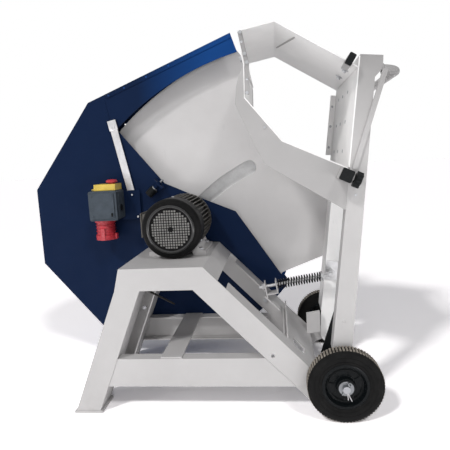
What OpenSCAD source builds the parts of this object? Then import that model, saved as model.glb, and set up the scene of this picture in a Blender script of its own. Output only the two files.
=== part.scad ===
// Tilting firewood log saw: a stand with motor and hooded blade, and a cradle that rocks on the wheel axle.
// Lengths in millimetres. X runs from the hood to the push handle, Y from the loading side to the blade,
// Z upwards. The origin is on the ground, under the middle of the machine.

/* [Wheels and axle] */
// Wheel diameter over the tread
wheel_d = 200; // [194:1:208]
// Wheel width
wheel_w = 45; // [40:1:48]
// Distance over the outer faces of both wheels
wheel_gauge = 590; // [584:1:610]
// Axle diameter; the cradle rocks on the same axle
axle_d = 20; // [18:1:22]
// Length of axle outside each wheel
axle_end = 13; // [12:1:18]
// Ribs round each tread
tread_ribs = 72; // [48:1:84]
// Diameter where the tyre sits on the hub
hub_d = 124; // [112:1:134]

/* [Stand] */
// Height of the motor table
table_h = 420; // [410:1:430]
// Length of the table
table_l = 235; // [228:1:250]
// Depth of the stand over both side frames
table_w = 386; // [380:1:390]
// Distance from the axle back to the table
table_back = 366; // [358:1:372]
// Distance from the axle back to the outer edge of the feet
foot_back = 759; // [740:1:790]
// Width of a leg
leg_w = 66; // [58:1:72]
// Depth of the folded sides of the left legs
leg_depth = 91; // [80:1:98]
// Depth of the folded sides of the right legs
right_depth = 70; // [64:1:90]
// Sheet thickness of the stand
frame_t = 4; // [3:0.5:5]
// Height of the bottom rails' underside
rail_z = 79; // [70:1:95]
// Height of a bottom rail
rail_h = 82; // [70:1:90]

/* [Motor and blade] */
// Blade diameter over the teeth
blade_d = 700; // [680:1:710]
// Blade thickness
blade_t = 4; // [3:0.5:5]
// Number of teeth
blade_teeth = 42; // [36:1:56]
// Distance from the axle back to the spindle
spindle_back = 470; // [464:1:476]
// Shaft height over the motor's feet
motor_h = 90; // [86:1:96]
// Diameter of the fan cover
cover_d = 178; // [170:1:178]
// Diameter of the spindle
spindle_d = 30; // [28:1:32]
// Cooling fins round the motor
fins = 44; // [32:1:52]

/* [Hood and guard] */
// Distance from the axle back to the hood's left side
hood_reach = 1012; // [1005:1:1040]
// Height of the hood's underside
hood_z = 92; // [84:1:98]
// Outside width of the hood
hood_w = 164; // [160:1:166]
// Sheet thickness of hood and guard
guard_t = 3; // [2:0.5:4]
// Room between the blade's teeth and the guard's rim
guard_gap = 36; // [28:1:44]

/* [Cradle] */
// Lean of the cradle at rest, in degrees
lean = 6.3; // [5.5:0.1:7]
// Swing towards the blade, in degrees
swing = 25; // [22:1:25]
// Height of the posts over the axle
post_h = 843; // [838:1:860]
// Sheet thickness of the trough, arm and wall
sheet_t = 3; // [2:0.5:4]
// Thickness of posts and front plate
post_t = 4; // [3:0.5:5]
// Height over the axle where the trough meets the wall
trough_v = 563; // [556:1:572]
// Height of the tunnel at the wall
tunnel_h = 250; // [240:1:258]

/* [Handle and tubes] */
// Diameter of the handle tube
handle_d = 22; // [18:1:25]
// Distance of the handle in front of the posts
handle_out = 61; // [58:1:80]
// Side of the square lower support tube
tube_w = 30; // [26:1:32]
// Wall of the support tubes
tube_t = 2; // [1.5:0.5:3]
// Diameter of the star knob
knob_d = 42; // [36:1:44]

/* [Return spring] */
// Outside diameter of the coil
spring_d = 32; // [28:1:36]
// Wire diameter
spring_wire = 3.2; // [2.4:0.1:3.6]
// Curls of the coil
curls = 14; // [12:1:16]
// Diameter of the spring's rod
rod_d = 10; // [8:1:12]
// Slope of the rod, in degrees
rod_slope = 9.3; // [8.5:0.1:10]

/* [Switch] */
// Length of the switch box
box_l = 96; // [92:1:104]
// Height of the switch box
box_h = 100; // [92:1:106]
// Diameter of the power inlet's body
inlet_d = 62; // [58:1:66]
// Diameter of the stop button
stop_d = 38; // [32:1:42]

/* [Fits] */
// Radial clearance of turning and sliding round parts
run_gap = 0.05; // [0.02:0.01:0.1]
// Side clearance between parts that move past each other
side_gap = 0.5; // [0.3:0.1:0.8]

/* [Hidden] */
$fn = 64;

function polar(r, a) = [r * cos(a), r * sin(a)];
function on_line(a, b, z) = a + (b - a) * (z - a[1]) / (b[1] - a[1]);
function unit(v) = v / norm(v);
function side(v) = [-v[1], v[0]];
// Crossing of two lines, each given by the angle of its normal and its distance from the axle
function crossing(p, q) = [p[1] * sin(q[0]) - q[1] * sin(p[0]), q[1] * cos(p[0]) - p[1] * cos(q[0])]
    / sin(q[0] - p[0]);
function from_cradle(p) = [p[0] * cos(lean) + p[1] * sin(lean), axle_h - p[0] * sin(lean) + p[1] * cos(lean)];

// Levels and planes
axle_h = wheel_d / 2;
axle_r = axle_d / 2;
axle_y = wheel_gauge / 2 + axle_end;
wheel_y = (wheel_gauge - wheel_w) / 2;
near_face = -wheel_gauge / 2 + wheel_w + 5;
far_face = near_face + table_w;
frame_mid = (near_face + far_face) / 2;
near_y = near_face + 10;
hood_y = far_face;
hood_end = hood_y + hood_w;
guard_y = hood_y + 52;
guard_end = guard_y + 71;
blade_y = guard_y + 34;
far_depth = 104;
far_web_y = guard_y - far_depth;
shield_l = 130;
motor_room = 11;
motor_y = hood_y - motor_room - shield_l;

// Stand outline, seen from the loading side
beam_h = 63;
beam_z = table_h - beam_h;
foot_t = 6;
left_top = [-table_back - table_l, table_h];
left_knee = left_top + [-16, -beam_h];
left_foot = [-foot_back, foot_t];
left_step = [leg_w / abs(unit(left_foot - left_knee)[1]), 0];
right_top = [-table_back, table_h];
right_end = [-62, axle_h + 6];
right_step = [leg_w / abs(unit(right_end - right_top)[1]), 0];
leg_low = axle_h - 70;
rail_depth = 38;
spindle_h = table_h + motor_h;
foot_bolts = [[-70, -62], [70, -62], [-70, 63], [70, 63]];
hood_bolts = [[-649, 190], [-566, 386], [-410, 386], [-214, 208]];

// Blade, guard and hood, about the axle
spindle = [-spindle_back, spindle_h];
spindle_rel = spindle - [0, axle_h];
spindle_arm = norm(spindle_rel);
spindle_angle = 180 - atan2(spindle_rel[1], spindle_back) + lean;
spindle_r = spindle_d / 2;
hub_r = 18;
slot_half = hub_r + 6;
guard_r = spindle_arm + blade_d / 2 + guard_gap;
guard_inner = 240;
guard_first = 112.4;
guard_last = 143.3;
guard_back = 154.3;
hood_edges = [[110.9, guard_r + 40], [143.2, guard_r + 118], [180, hood_reach], [220, hood_reach - 405],
    [270, axle_h - hood_z]];
hood_corners = [for (i = [0:3]) crossing(hood_edges[i], hood_edges[i + 1]) + [0, axle_h]];
hood_cut = [for (p = [[-254, 345], [-229, 313], [-76, 122], [24, 76], [167, 14], [315, -212], [328, -216],
    [338, -230], [327, -258], [293, -296]]) spindle + p];
hood_right = [spindle[0] + 140, hood_z];
hood_tip = crossing(hood_edges[0], [180, 293]) + [0, axle_h];
hood_arc = guard_r - 54;
hood_arc_at = [-54, axle_h + 20];
arm_inner = guard_r - 50;

// Cradle outline in its own frame: from the axle, along and across the posts
post_left = -35;
post_foot = 17;
post_top = 5;
post_depth = 44;
wall_u = post_left - sheet_t / 2;
trough_right = [post_left - sheet_t, trough_v];
trough_low = trough_right + [-173, 60];
trough_left = trough_low + [-103, 103];
arm_joint = [-318, trough_v + 246];
arm_left = [-342, trough_v + 325];
arm_apex = [-252, trough_v + 351];
arm_right = [post_left - sheet_t, trough_v + tunnel_h];
flange_dir = unit(arm_left - arm_joint);
flange_shift = side(flange_dir) * (sheet_t + 0.3);
trough_fold = arm_joint + flange_shift;
trough_lip = trough_fold + flange_dir * 34;
trough_line = [trough_lip, trough_fold, trough_left, trough_low, trough_right];
floor_angle = atan2(trough_right[1] - trough_low[1], trough_right[0] - trough_low[0]);
arm_angle = atan2(arm_right[1] - arm_apex[1], arm_right[0] - arm_apex[0]);
lower_tube = [post_left - 12.5, trough_v - tube_w / 2 - 1];
upper_tube = arm_right + [-24, 11];
upper_size = [17, 30];
tunnel_l = guard_y - near_y;
lower_end = near_y - 49;
upper_end = near_y - 30;
tube_back = guard_y - 8;
upper_back = near_y + 28;
knob_y = near_y - knob_d / 2 - 3;

// Handle, in the cradle's frame
handle_v = post_h - 31;
handle_r = handle_d / 2;
handle_bend = 34;
handle_near = near_y + handle_r;
handle_far = guard_y - handle_r;
handle_reach = from_cradle([handle_out, handle_v])[0] + handle_r;
axle_x = (hood_reach - handle_reach) / 2;

// Spring and rod: the pin in the cradle's frame, distances along the rod from the pin
spring_y = 35;
pin_uv = [-20, 219];
pin = from_cradle(pin_uv);
pin_r = 6;
collar_s = 28;
coil_start = 33.1;
ear_s = 177;
ear_t = 4;
ear_gap = 32;
coil_end = ear_s - 0.2;
rod_end = 236;
nut_r = 8.5 / cos(30);
slack = 4.5;

// Switch, inlet and buttons
box_x = -690 - box_l;
box_z = 520;
box_y = hood_y - 96;
bracket_y = hood_y - 12;
box_top = box_z + box_h;
flap_l = 74;
flap_x = box_x + box_l - 5 - flap_l;
flap_w = 66;
flap_h = 21;
flap_y = box_y + 14;
flap_mid = flap_y + flap_w / 2;
stop_x = flap_x + 52;
button_r = 8;
button_x = [flap_x + 13, flap_x + 31.5];
hinge_x = flap_x - 6.5;
hinge_z = box_top + 4;
inlet_x = box_x + 36;
inlet_r = inlet_d / 2;

// Lock plunger: a point on its axis and the axis angle
lock_at = [-560, 632];
lock_angle = 42.6;
lock_y = hood_y - 21;
lock_r = 4;

// Placement and sheet helpers
module at_axle() translate([axle_x, 0, 0]) children();
module cradle() translate([axle_x, 0, axle_h]) rotate([0, lean, 0]) children();
module at_motor() translate([axle_x - spindle_back, motor_y, spindle_h]) children();
module on_rod() translate([axle_x + pin[0], spring_y, pin[1]]) rotate([0, -rod_slope, 0]) children();
module on_lock() translate([axle_x + lock_at[0], lock_y, lock_at[1]]) rotate([0, 90 - lock_angle, 0])
    children();
module rod_way(s0, s1, r) on_rod() {
    for (z = [-slack, slack]) translate([-s0, 0, z]) rotate([0, -90, 0]) cylinder(h = s1 - s0, r = r);
    translate([-s1, -r, -slack]) cube([s1 - s0, 2 * r, 2 * slack]);
}
module plate(y, t) translate([0, y + t, 0]) rotate([90, 0, 0]) linear_extrude(t) children();
module shaft_y(y0, y1, r) translate([0, y0, 0]) rotate([-90, 0, 0]) cylinder(h = y1 - y0, r = r);
module hex_y(y0, y1, flats) translate([0, y0, 0]) rotate([-90, 0, 0])
    cylinder(h = y1 - y0, d = flats / cos(30), $fn = 6);
module turned(y) translate([0, y, 0]) rotate([90, 0, 0]) rotate_extrude($fn = 96) children();
module bar(a, b, t) translate(a) rotate(atan2(b[1] - a[1], b[0] - a[0])) translate([0, -t / 2])
    square([norm(b - a), t]);
module strip(points, t) {
    for (i = [0:len(points) - 2]) bar(points[i], points[i + 1], t);
    for (i = [1:len(points) - 2]) translate(points[i]) circle(d = t);
}
module rounded(w, h, r) {
    translate([r, 0]) square([w - 2 * r, h]);
    translate([0, r]) square([w, h - 2 * r]);
    for (x = [r, w - r], y = [r, h - r]) translate([x, y]) circle(r);
}
module wedge(first, last, r) polygon([[0, 0], polar(r, first), polar(r, (first + last) / 2), polar(r, last)]);
// A folded channel: a face with sides along the given edges, folded in the direction of depth
module channel(y, depth, t, edges) {
    plate(y, t) children();
    plate(y, depth) intersection() {
        children();
        for (e = edges) bar(e[0], e[1], 2 * t);
    }
}
module both_sides() {
    children();
    translate([0, 2 * frame_mid, 0]) mirror([0, 1, 0]) children();
}

// Stand
module beam_outline() polygon([left_top, right_top, on_line(right_top, right_end, beam_z), left_knee]);
module left_outline() polygon([left_knee, left_knee + left_step, left_foot + left_step, left_foot]);
module right_outline() polygon([on_line(right_top, right_end, beam_z), right_end, [right_end[0], leg_low],
    on_line(right_top, right_end, leg_low) - right_step, on_line(right_top, right_end, beam_z) - right_step]);
module hood_bolt_holes(y0, y1) for (p = hood_bolts) translate([p[0], 0, p[1]]) shaft_y(y0, y1, 4.4);

module top_plate() color([0.75, 0.76, 0.77]) at_axle() difference() {
    union() {
        translate([left_top[0], near_face, table_h - frame_t]) cube([table_l, table_w, frame_t]);
        both_sides() plate(near_face, frame_t) beam_outline();
        plate(near_face, table_w) intersection() {
            beam_outline();
            bar(right_top, on_line(right_top, right_end, table_h - 40), 2 * frame_t);
        }
        plate(near_face, table_w) intersection() {
            beam_outline();
            bar(left_top, left_knee, 2 * frame_t);
        }
    }
    for (p = foot_bolts) translate([-spindle_back + p[0], motor_y + p[1], table_h - 20])
        cylinder(h = 30, r = 5);
    hood_bolt_holes(far_face - 2 * frame_t, far_face + 1);
}

module left_legs() color([0.75, 0.76, 0.77]) at_axle() difference() {
    both_sides() channel(near_face, leg_depth, frame_t, [[left_knee, left_foot],
        [left_knee + left_step, left_foot + left_step]]) left_outline();
    hood_bolt_holes(far_face - 2 * frame_t, far_face + 1);
}

module right_legs() color([0.75, 0.76, 0.77]) at_axle() difference() {
    both_sides() channel(near_face, right_depth, frame_t, [[on_line(right_top, right_end, beam_z), right_end]])
        right_outline();
    hood_bolt_holes(far_face - 2 * frame_t, far_face + 1);
    translate([-187, near_face - 1, axle_h + 67]) shaft_y(0, frame_t + 2, 5);
}

module bottom_rails() color([0.75, 0.76, 0.77]) at_axle() {
    ends = [for (z = [rail_z, rail_z + rail_h]) [on_line(left_knee, left_foot, z) + left_step,
        on_line(right_top, right_end, z) - right_step]];
    both_sides() channel(near_face, rail_depth, frame_t, ends)
        polygon([ends[0][0], ends[1][0], ends[1][1], ends[0][1]]);
}

module slope_plate(y0, y1, z0, z1) plate(y0, y1 - y0) intersection() {
    right_outline();
    bar(on_line(right_top, right_end, z0), on_line(right_top, right_end, z1), 2 * frame_t);
}
module cross_ties() color([0.75, 0.76, 0.77]) {
    near_in = near_face + right_depth;
    far_in = far_face - right_depth;
    at_axle() {
        translate([-spindle_back - 30, near_face + frame_t, rail_z + rail_h])
            cube([60, table_w - 2 * frame_t, frame_t]);
        slope_plate(spring_y - 22, far_in, axle_h + 158, axle_h + 110);
        slope_plate(near_in, far_in, axle_h + 100, axle_h + 74);
        slope_plate(near_in + 45, far_in, axle_h + 74, axle_h + 41);
        slope_plate(near_in, far_in, axle_h + 41, axle_h + 10);
        translate([-147, near_in, axle_h + 60]) cube([frame_t, far_in - near_in, 46]);
        translate([-147, far_in - 14, axle_h + 60]) cube([frame_t, 14, 64]);
        channel(far_in - 17, 17, frame_t, [[[-78, axle_h + 82], [-34, axle_h + 90]],
            [[-34, axle_h + 90], [-34, axle_h + 22]]])
            polygon([[-78, axle_h + 14], [-78, axle_h + 82], [-34, axle_h + 90], [-34, axle_h + 22]]);
    }
}

module frame_plates() color([0.72, 0.73, 0.75]) at_axle() both_sides() {
    translate([left_foot[0] - 5, near_face - 4, 0]) cube([left_step[0] + 12, leg_depth + 4, foot_t]);
    difference() {
        plate(near_face + frame_t, 5) union() {
            polygon([[-100, axle_h + 26], [-68, axle_h - 4], [0, axle_h + 24], [0, axle_h - 24],
                [-78, axle_h - 58], [-100, axle_h - 38]]);
            translate([0, axle_h]) circle(axle_r + 14);
        }
        translate([0, near_face, axle_h]) shaft_y(0, 20, axle_r + run_gap);
    }
}

module frame_bolts() color([0.80, 0.81, 0.83]) at_axle() for (p = hood_bolts) translate([p[0], 0, p[1]]) {
    hex_y(hood_y - frame_t - 5.5, hood_y - frame_t, 13);
    shaft_y(hood_y - frame_t - 1, hood_y + guard_t + 8, 4);
    hex_y(hood_y + guard_t, hood_y + guard_t + 6.5, 13);
}

module axle() color([0.82, 0.83, 0.85]) translate([axle_x, 0, axle_h]) {
    shaft_y(-axle_y, axle_y, axle_r);
    shaft_y(near_face - 5 + side_gap, near_face + frame_t, axle_r + 6);
    shaft_y(far_face - frame_t, far_face + 5, axle_r + 6);
    shaft_y(guard_y + side_gap, wheel_gauge / 2 - wheel_w - side_gap, axle_r + 5);
    for (s = [-1, 1]) translate([0, s * (wheel_gauge / 2 + side_gap + 1.5), 0]) {
        shaft_y(-1.5, 1.5, 19.5);
        translate([0, s * 4.5, 0]) rotate([0, 35, 0]) {
            translate([0, 0, -axle_r - 9]) cylinder(h = 2 * axle_r + 14, r = 2);
            translate([0, 0, axle_r + 5]) rotate([90, 0, 0]) rotate_extrude($fn = 32) translate([4, 0])
                circle(2);
        }
    }
}

// Wheels: a ribbed tyre and a hub with windows, drawn about the wheel's middle
module tyre_shape() {
    r = wheel_d / 2;
    turned(wheel_w / 2) polygon([[hub_d / 2, 4], [hub_d / 2 + 4, 1], [r - 16, 0], [r - 8, 2], [r - 4, 6],
        [r - 4, wheel_w - 6], [r - 8, wheel_w - 2], [r - 16, wheel_w], [hub_d / 2 + 4, wheel_w - 1],
        [hub_d / 2, wheel_w - 4]]);
    step = 360 / tread_ribs;
    plate(-wheel_w / 2 + 6, wheel_w - 12) difference() {
        polygon([for (i = [0:tread_ribs - 1], p = [[r, 0.04], [r, 0.62], [r - 3.2, 0.70], [r - 3.2, 0.96]])
            polar(p[0], (i + p[1]) * step)]);
        circle(r - 6);
    }
}

module hub_shape() difference() {
    w = wheel_w / 2;
    r = hub_d / 2;
    turned(0) polygon([[axle_r + run_gap, -w], [21, -w], [23, -w + 6], [26, -6], [r - 14, -6], [r - 8, -w + 3],
        [r, -w + 4], [r, w - 4], [r - 8, w - 3], [r - 14, 6], [26, 6], [23, w - 6], [21, w],
        [axle_r + run_gap, w]]);
    for (i = [0:3], y = [-12, 2.5]) rotate([0, -57 - 90 * i, 0]) plate(y, 9.5) intersection() {
        difference() {
            circle(r - 16);
            circle(28);
        }
        wedge(-24, 24, 2 * r);
    }
}

module near_tyre() color([0.42, 0.43, 0.44]) translate([axle_x, -wheel_y, axle_h]) tyre_shape();
module near_hub() color([0.08, 0.08, 0.09]) translate([axle_x, -wheel_y, axle_h]) hub_shape();
module far_tyre() color([0.42, 0.43, 0.44]) translate([axle_x, wheel_y, axle_h]) tyre_shape();
module far_hub() color([0.08, 0.08, 0.09]) translate([axle_x, wheel_y, axle_h]) hub_shape();

// Blade hood
module hood_outline(first, at, r) difference() {
    polygon(concat([hood_tip], hood_corners, [hood_right], [for (i = [len(hood_cut) - 1:-1:first]) hood_cut[i]],
        [hood_tip + [20, -220], hood_tip + [20, -60]]));
    intersection() {
        translate(at) circle(r, $fn = 128);
        polygon([hood_cut[first], hood_tip + [60, -220], hood_tip + [60, 200],
            [hood_cut[first][0], hood_tip[1] + 200]]);
    }
}
module hood_far_outline() hood_outline(0, [0, axle_h], arm_inner);

module hood_near_plate() color([0.06, 0.13, 0.30]) at_axle() difference() {
    plate(hood_y, guard_t) difference() {
        hood_outline(1, hood_arc_at, hood_arc);
        translate(spindle) circle(45);
    }
    hood_bolt_holes(hood_y - 1, hood_y + guard_t + 1);
}

module hood_far_plate() color([0.06, 0.13, 0.30]) at_axle() plate(hood_end - guard_t, guard_t)
    hood_far_outline();

module hood_rim() color([0.05, 0.25, 0.50]) at_axle()
    plate(hood_y + guard_t, hood_w - 2 * guard_t) intersection() {
        hood_far_outline();
        strip(concat([hood_tip], hood_corners, [hood_right]), 2 * guard_t);
    }

module brace_strap() color([0.80, 0.81, 0.83]) at_axle() {
    ends = [[-709, 830], [-648, 530]];
    plate(hood_y - 9, 4) {
        bar(ends[0], ends[1], 25);
        for (p = ends) translate(p) circle(13);
    }
    for (p = ends) translate([p[0], 0, p[1]]) shaft_y(hood_y - 5, hood_y, 9);
    translate([ends[0][0], 0, ends[0][1]]) hex_y(hood_y - 15, hood_y - 9, 13);
}

// Switch
module switch_bracket() color([0.06, 0.13, 0.30]) at_axle() {
    plate(bracket_y, 3) translate([box_x + 4, box_z - 8]) rounded(box_l + 53, box_h + 2, 6);
    for (p = [[-660, 598], [-644, 522]]) translate([p[0], 0, p[1]]) hex_y(bracket_y - 4, bracket_y, 8);
}

module switch_box() color([0.13, 0.13, 0.14]) at_axle() difference() {
    union() {
        plate(box_y, bracket_y - box_y) translate([box_x, box_z]) rounded(box_l, box_h, 7);
        plate(box_y - 4, 6) translate([box_x + 8, box_z + 8]) rounded(box_l - 16, box_h - 16, 6);
        translate([hinge_x, 0, hinge_z]) shaft_y(flap_mid - 11, flap_mid + 11, 3.4);
        translate([hinge_x - 3, flap_mid - 11, box_top - 14]) cube([4, 22, 17]);
        translate([hinge_x - 3, flap_mid - 11, box_top - 14]) cube([8, 22, 8]);
        translate([hinge_x, 0, hinge_z]) shaft_y(flap_y + 4, flap_y + flap_w - 4, 1.5);
    }
    for (x = button_x) translate([x, flap_mid, box_top - 16]) cylinder(h = 20, r = button_r + run_gap);
}

module switch_flap() color([0.95, 0.72, 0.05]) at_axle() {
    difference() {
        translate([flap_x, flap_y, box_top + 0.4]) cube([flap_l, flap_w, flap_h]);
        translate([flap_x + 2.5, flap_y + 2.5, box_top]) cube([flap_l - 5, flap_w - 5, flap_h - 2.5]);
        translate([stop_x, flap_mid, box_top]) cylinder(h = 40, r = 11 + run_gap);
    }
    for (s = [-1, 1]) difference() {
        union() {
            translate([hinge_x, 0, hinge_z]) shaft_y(flap_mid + s * 20 - 8, flap_mid + s * 20 + 8, 3.4);
            translate([hinge_x, flap_mid + s * 20 - 8, hinge_z - 1.5]) cube([7, 16, 3]);
        }
        translate([hinge_x, 0, hinge_z]) shaft_y(flap_y, flap_y + flap_w, 1.5 + run_gap);
    }
}

module stop_button() color([0.80, 0.06, 0.05]) translate([axle_x + stop_x, flap_mid, box_top]) {
    translate([0, 0, flap_h - 12]) cylinder(h = 17, r = 11);
    translate([0, 0, flap_h + 5]) rotate_extrude($fn = 64) polygon([[0, 0], [stop_d / 2, 0], [stop_d / 2, 5],
        [stop_d / 2 - 2, 8], [stop_d / 2 - 7, 10], [0, 11]]);
}
module button_shape(x) translate([axle_x + x, flap_mid, box_top - 12]) {
    cylinder(h = 18, r = button_r);
    translate([0, 0, 18]) cylinder(h = 1.5, r1 = button_r, r2 = button_r - 1.5);
}
module start_button() color([0.05, 0.45, 0.15]) button_shape(button_x[0]);
module off_button() color([0.75, 0.06, 0.05]) button_shape(button_x[1]);

module power_inlet() color([0.75, 0.08, 0.07]) translate([axle_x + inlet_x, flap_mid, box_z]) difference() {
    union() {
        translate([0, 0, -8]) cylinder(h = 8, r = inlet_r + 5);
        translate([0, 0, -56]) cylinder(h = 50, r = inlet_r);
        translate([0, 0, -68]) cylinder(h = 16, r = inlet_r + 4);
        translate([-7, -inlet_r - 6, -68]) cube([14, 12, 40]);
    }
    translate([0, 0, -69]) cylinder(h = 49, r = inlet_r - 5);
}

module inlet_pins() color([0.78, 0.60, 0.25]) translate([axle_x + inlet_x, flap_mid, box_z - 20]) {
    for (i = [0:4]) rotate([0, 0, 90 + 72 * i]) translate([inlet_r - 15, 0, -36])
        cylinder(h = 36, r = i == 0 ? 3.6 : 2.8);
}

// Motor
module motor_body() color([0.10, 0.10, 0.11]) at_motor() difference() {
    union() {
        plate(-85, 185) union() {
            circle(73);
            for (i = [0:fins - 1]) rotate(i * 360 / fins) translate([60, -1.3]) square([27.5, 2.6]);
        }
        plate(-74, 159) for (s = [0, 1]) mirror([s, 0])
            polygon([[36, -56], [62, -50], [72, -motor_h + 14], [88, -motor_h + 12], [88, -motor_h],
                [50, -motor_h], [46, -motor_h + 16]]);
        plate(-25, 80) translate([-88, -26]) square([24, 52]);
    }
    shaft_y(-66, 101, 40);
    shaft_y(-86, -60, 26 + run_gap);
    for (p = foot_bolts) translate([p[0], p[1], -motor_h]) {
        translate([0, 0, -1]) cylinder(h = 34, r = 5);
        translate([0, 0, 13]) cylinder(h = 20, r = 10.5);
    }
}

module motor_bolts() color([0.80, 0.81, 0.83]) at_motor() {
    for (p = foot_bolts) translate([p[0], p[1], -motor_h]) {
        translate([0, 0, -frame_t - 12]) cylinder(h = 28 + frame_t, r = 4.5);
        translate([0, 0, -frame_t - 8]) cylinder(h = 8, d = 17 / cos(30), $fn = 6);
        translate([0, 0, 13]) cylinder(h = 7, d = 17 / cos(30), $fn = 6);
    }
    for (i = [0:2]) rotate([0, 120 * i, 0]) translate([0, -80, cover_d / 2 - 0.2])
        cylinder(h = 3, r = 4);
}

module end_shield() color([0.10, 0.10, 0.11]) at_motor() turned(shield_l) polygon([[spindle_r + 1, 0], [44, 0],
    [62, 9], [86, 21], [86, 30], [31 + run_gap, 30], [31 + run_gap, 8], [spindle_r + 1, 8]]);

module fan_cover() color([0.08, 0.08, 0.09]) at_motor() {
    r = cover_d / 2;
    wall = 1.5;
    arc = [for (a = [0:15:75]) a];
    difference() {
        turned(-75) polygon(concat([[r, 0]], [for (a = arc) [r - 13 + 13 * cos(a), 52 + 13 * sin(a)]],
            [[61, 68], [60, 68], [60, 66.4]],
            [for (i = [len(arc) - 1:-1:0]) [r - 13 + (13 - wall) * cos(arc[i]), 52 + (13 - wall) * sin(arc[i])]],
            [[r - wall, 0]]));
        for (i = [0:2]) rotate([0, 120 * i, 0]) translate([0, -80, cover_d / 2 - 0.2])
            cylinder(h = 4, r = 4.02);
    }
    plate(-143, wall) difference() {
        circle(60.5);
        for (x = [-7:7], z = [-7:7]) if (norm([x, z]) < 7.3 && norm([x, z]) > 0.9)
            translate([x, z] * 7.6) square(5.6, center = true);
    }
    shaft_y(-145, -142, 5);
}

module terminal_box() color([0.10, 0.10, 0.11]) at_motor() {
    plate(-30, 90) translate([-116, -36]) rounded(27.5, 72, 5);
    plate(-34, 98) translate([-120, -39]) rounded(4, 78, 1.9);
}

module motor_bearings() color([0.60, 0.62, 0.66]) at_motor() {
    difference() {
        shaft_y(104, 120, 31);
        shaft_y(100, 124, spindle_r + run_gap);
    }
    difference() {
        shaft_y(-83, -67, 26);
        shaft_y(-86, -60, 12.5 + run_gap);
    }
}

// Rotor
module motor_shaft() color([0.80, 0.81, 0.83]) at_motor() {
    shaft_y(-120, 90, 12.5);
    shaft_y(-50, 86, 39);
    shaft_y(86, blade_y - motor_y + 27, spindle_r);
}

module cooling_fan() color([0.78, 0.78, 0.76]) at_motor() difference() {
    union() {
        shaft_y(-122, -92, 19);
        plate(-95, 3) circle(76);
        shaft_y(-139, -121, 16);
        plate(-139, 2) circle(58);
        for (i = [0:7]) rotate([0, 45 * i, 0]) translate([15, -118, -1.5]) cube([58, 24, 3]);
    }
    shaft_y(-121, -80, 12.5 + run_gap);
}

module blade_flanges() color([0.62, 0.64, 0.67]) at_motor() translate([0, -motor_y, 0]) {
    difference() {
        union() {
            shaft_y(hood_y + 12, blade_y - 2, hub_r);
            turned(blade_y - blade_t / 2) polygon([[0, 0], [62, 0], [62, 5], [40, 13], [0, 13]]);
        }
        shaft_y(hood_y, blade_y, spindle_r + run_gap);
    }
    difference() {
        turned(blade_y + blade_t / 2 + 10) polygon([[0, 0], [40, 0], [62, 5], [62, 10], [0, 10]]);
        shaft_y(blade_y, blade_y + 30, spindle_r + run_gap);
    }
    difference() {
        hex_y(blade_y + blade_t / 2 + 10, blade_y + blade_t / 2 + 22, 46);
        shaft_y(blade_y, blade_y + 40, spindle_r + run_gap);
    }
}

module saw_blade() color([0.78, 0.79, 0.80]) at_motor()
    plate(blade_y - motor_y - blade_t / 2, blade_t) difference() {
    r = blade_d / 2;
    step = 360 / blade_teeth;
    polygon([for (i = [0:blade_teeth - 1], p = [[0, 0], [0.30, 3.5], [0.55, 11], [0.72, 14.5], [0.88, 15.5],
        [0.97, 12]]) polar(r - p[1], (i + p[0]) * step)]);
    circle(spindle_r + run_gap);
    for (i = [0:3]) rotate(90 * i + 20) translate([blade_d * 0.3, 0]) circle(9);
}

// Cradle
module post_outline() {
    polygon([[post_left, 60], [-axle_r - 20, 0], [axle_r + 20, 0], [post_foot, 60], [post_top, post_h - 53],
        [post_top + 17, post_h - 31], [post_top + 15, post_h], [post_left, post_h]]);
    circle(axle_r + 20);
}
module tube_cut(at, angle, size, y0, y1) plate(y0, y1 - y0) translate(at) rotate(angle)
    square(size, center = true);
module tube_cuts(y0, y1) {
    tube_cut(lower_tube, floor_angle, [tube_w, tube_w], y0, y1);
    if (y0 < upper_back) tube_cut(upper_tube, arm_angle, upper_size, y0, min(y1, upper_back));
}
post_edges = [[[post_left, 75], [post_left, post_h]], [[post_foot - 0.3, 75], [post_top, post_h - 53]]];

module near_post() color([0.78, 0.79, 0.80]) cradle() difference() {
    channel(near_y, post_depth, post_t, post_edges) post_outline();
    shaft_y(near_y - 1, near_y + post_t + 1, axle_r + run_gap);
    tube_cuts(near_y - 1, near_y + post_depth + 1);
    translate([-12, 0, 160]) shaft_y(near_y - 1, near_y + 10, 5);
}

module far_post() color([0.78, 0.79, 0.80]) cradle() difference() {
    channel(far_web_y, far_depth, post_t, post_edges) post_outline();
    shaft_y(far_web_y - 1, far_web_y + post_t + 1, axle_r + run_gap);
    tube_cuts(far_web_y - 1, tube_back);
}

module v_plate() color([0.80, 0.81, 0.82]) cradle() difference() {
    plate(near_y, post_t) difference() {
        polygon([trough_fold, trough_left, trough_low, trough_right, [post_left, trough_v - 1],
            [post_left, trough_v - 107], [-239, trough_v - 8], [-254, trough_v + 2], [-317, trough_v + 110],
            [-337, trough_v + 146], [-337, trough_v + 190], [-331, trough_v + 224]]);
        strip(trough_line, sheet_t);
    }
    tube_cuts(near_y - 1, near_y + post_t + 1);
}

module trough_floor() color([0.80, 0.81, 0.82]) cradle() plate(near_y, tunnel_l) strip(trough_line, sheet_t);

module right_wall() color([0.80, 0.81, 0.82]) cradle() difference() {
    union() {
        plate(near_y, tunnel_l) bar([wall_u, trough_v + 3], [wall_u, post_h - 4], sheet_t);
        plate(guard_y - sheet_t, sheet_t) translate([wall_u - 19, trough_v + 34]) square([19, tunnel_h - 52]);
    }
    wall_h = post_h - trough_v;
    for (k = [0.16, 0.45, 0.74], y = [143, 245, 335]) translate([wall_u - 5, near_y + y, trough_v + k * wall_h])
        rotate([0, 90, 0]) cylinder(h = 10, r = 4);
    for (k = [0.24, 0.52, 0.78]) translate([wall_u - 11, 0, trough_v + k * tunnel_h])
        shaft_y(guard_y - 10, guard_y + 1, 2.5);
}

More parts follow.
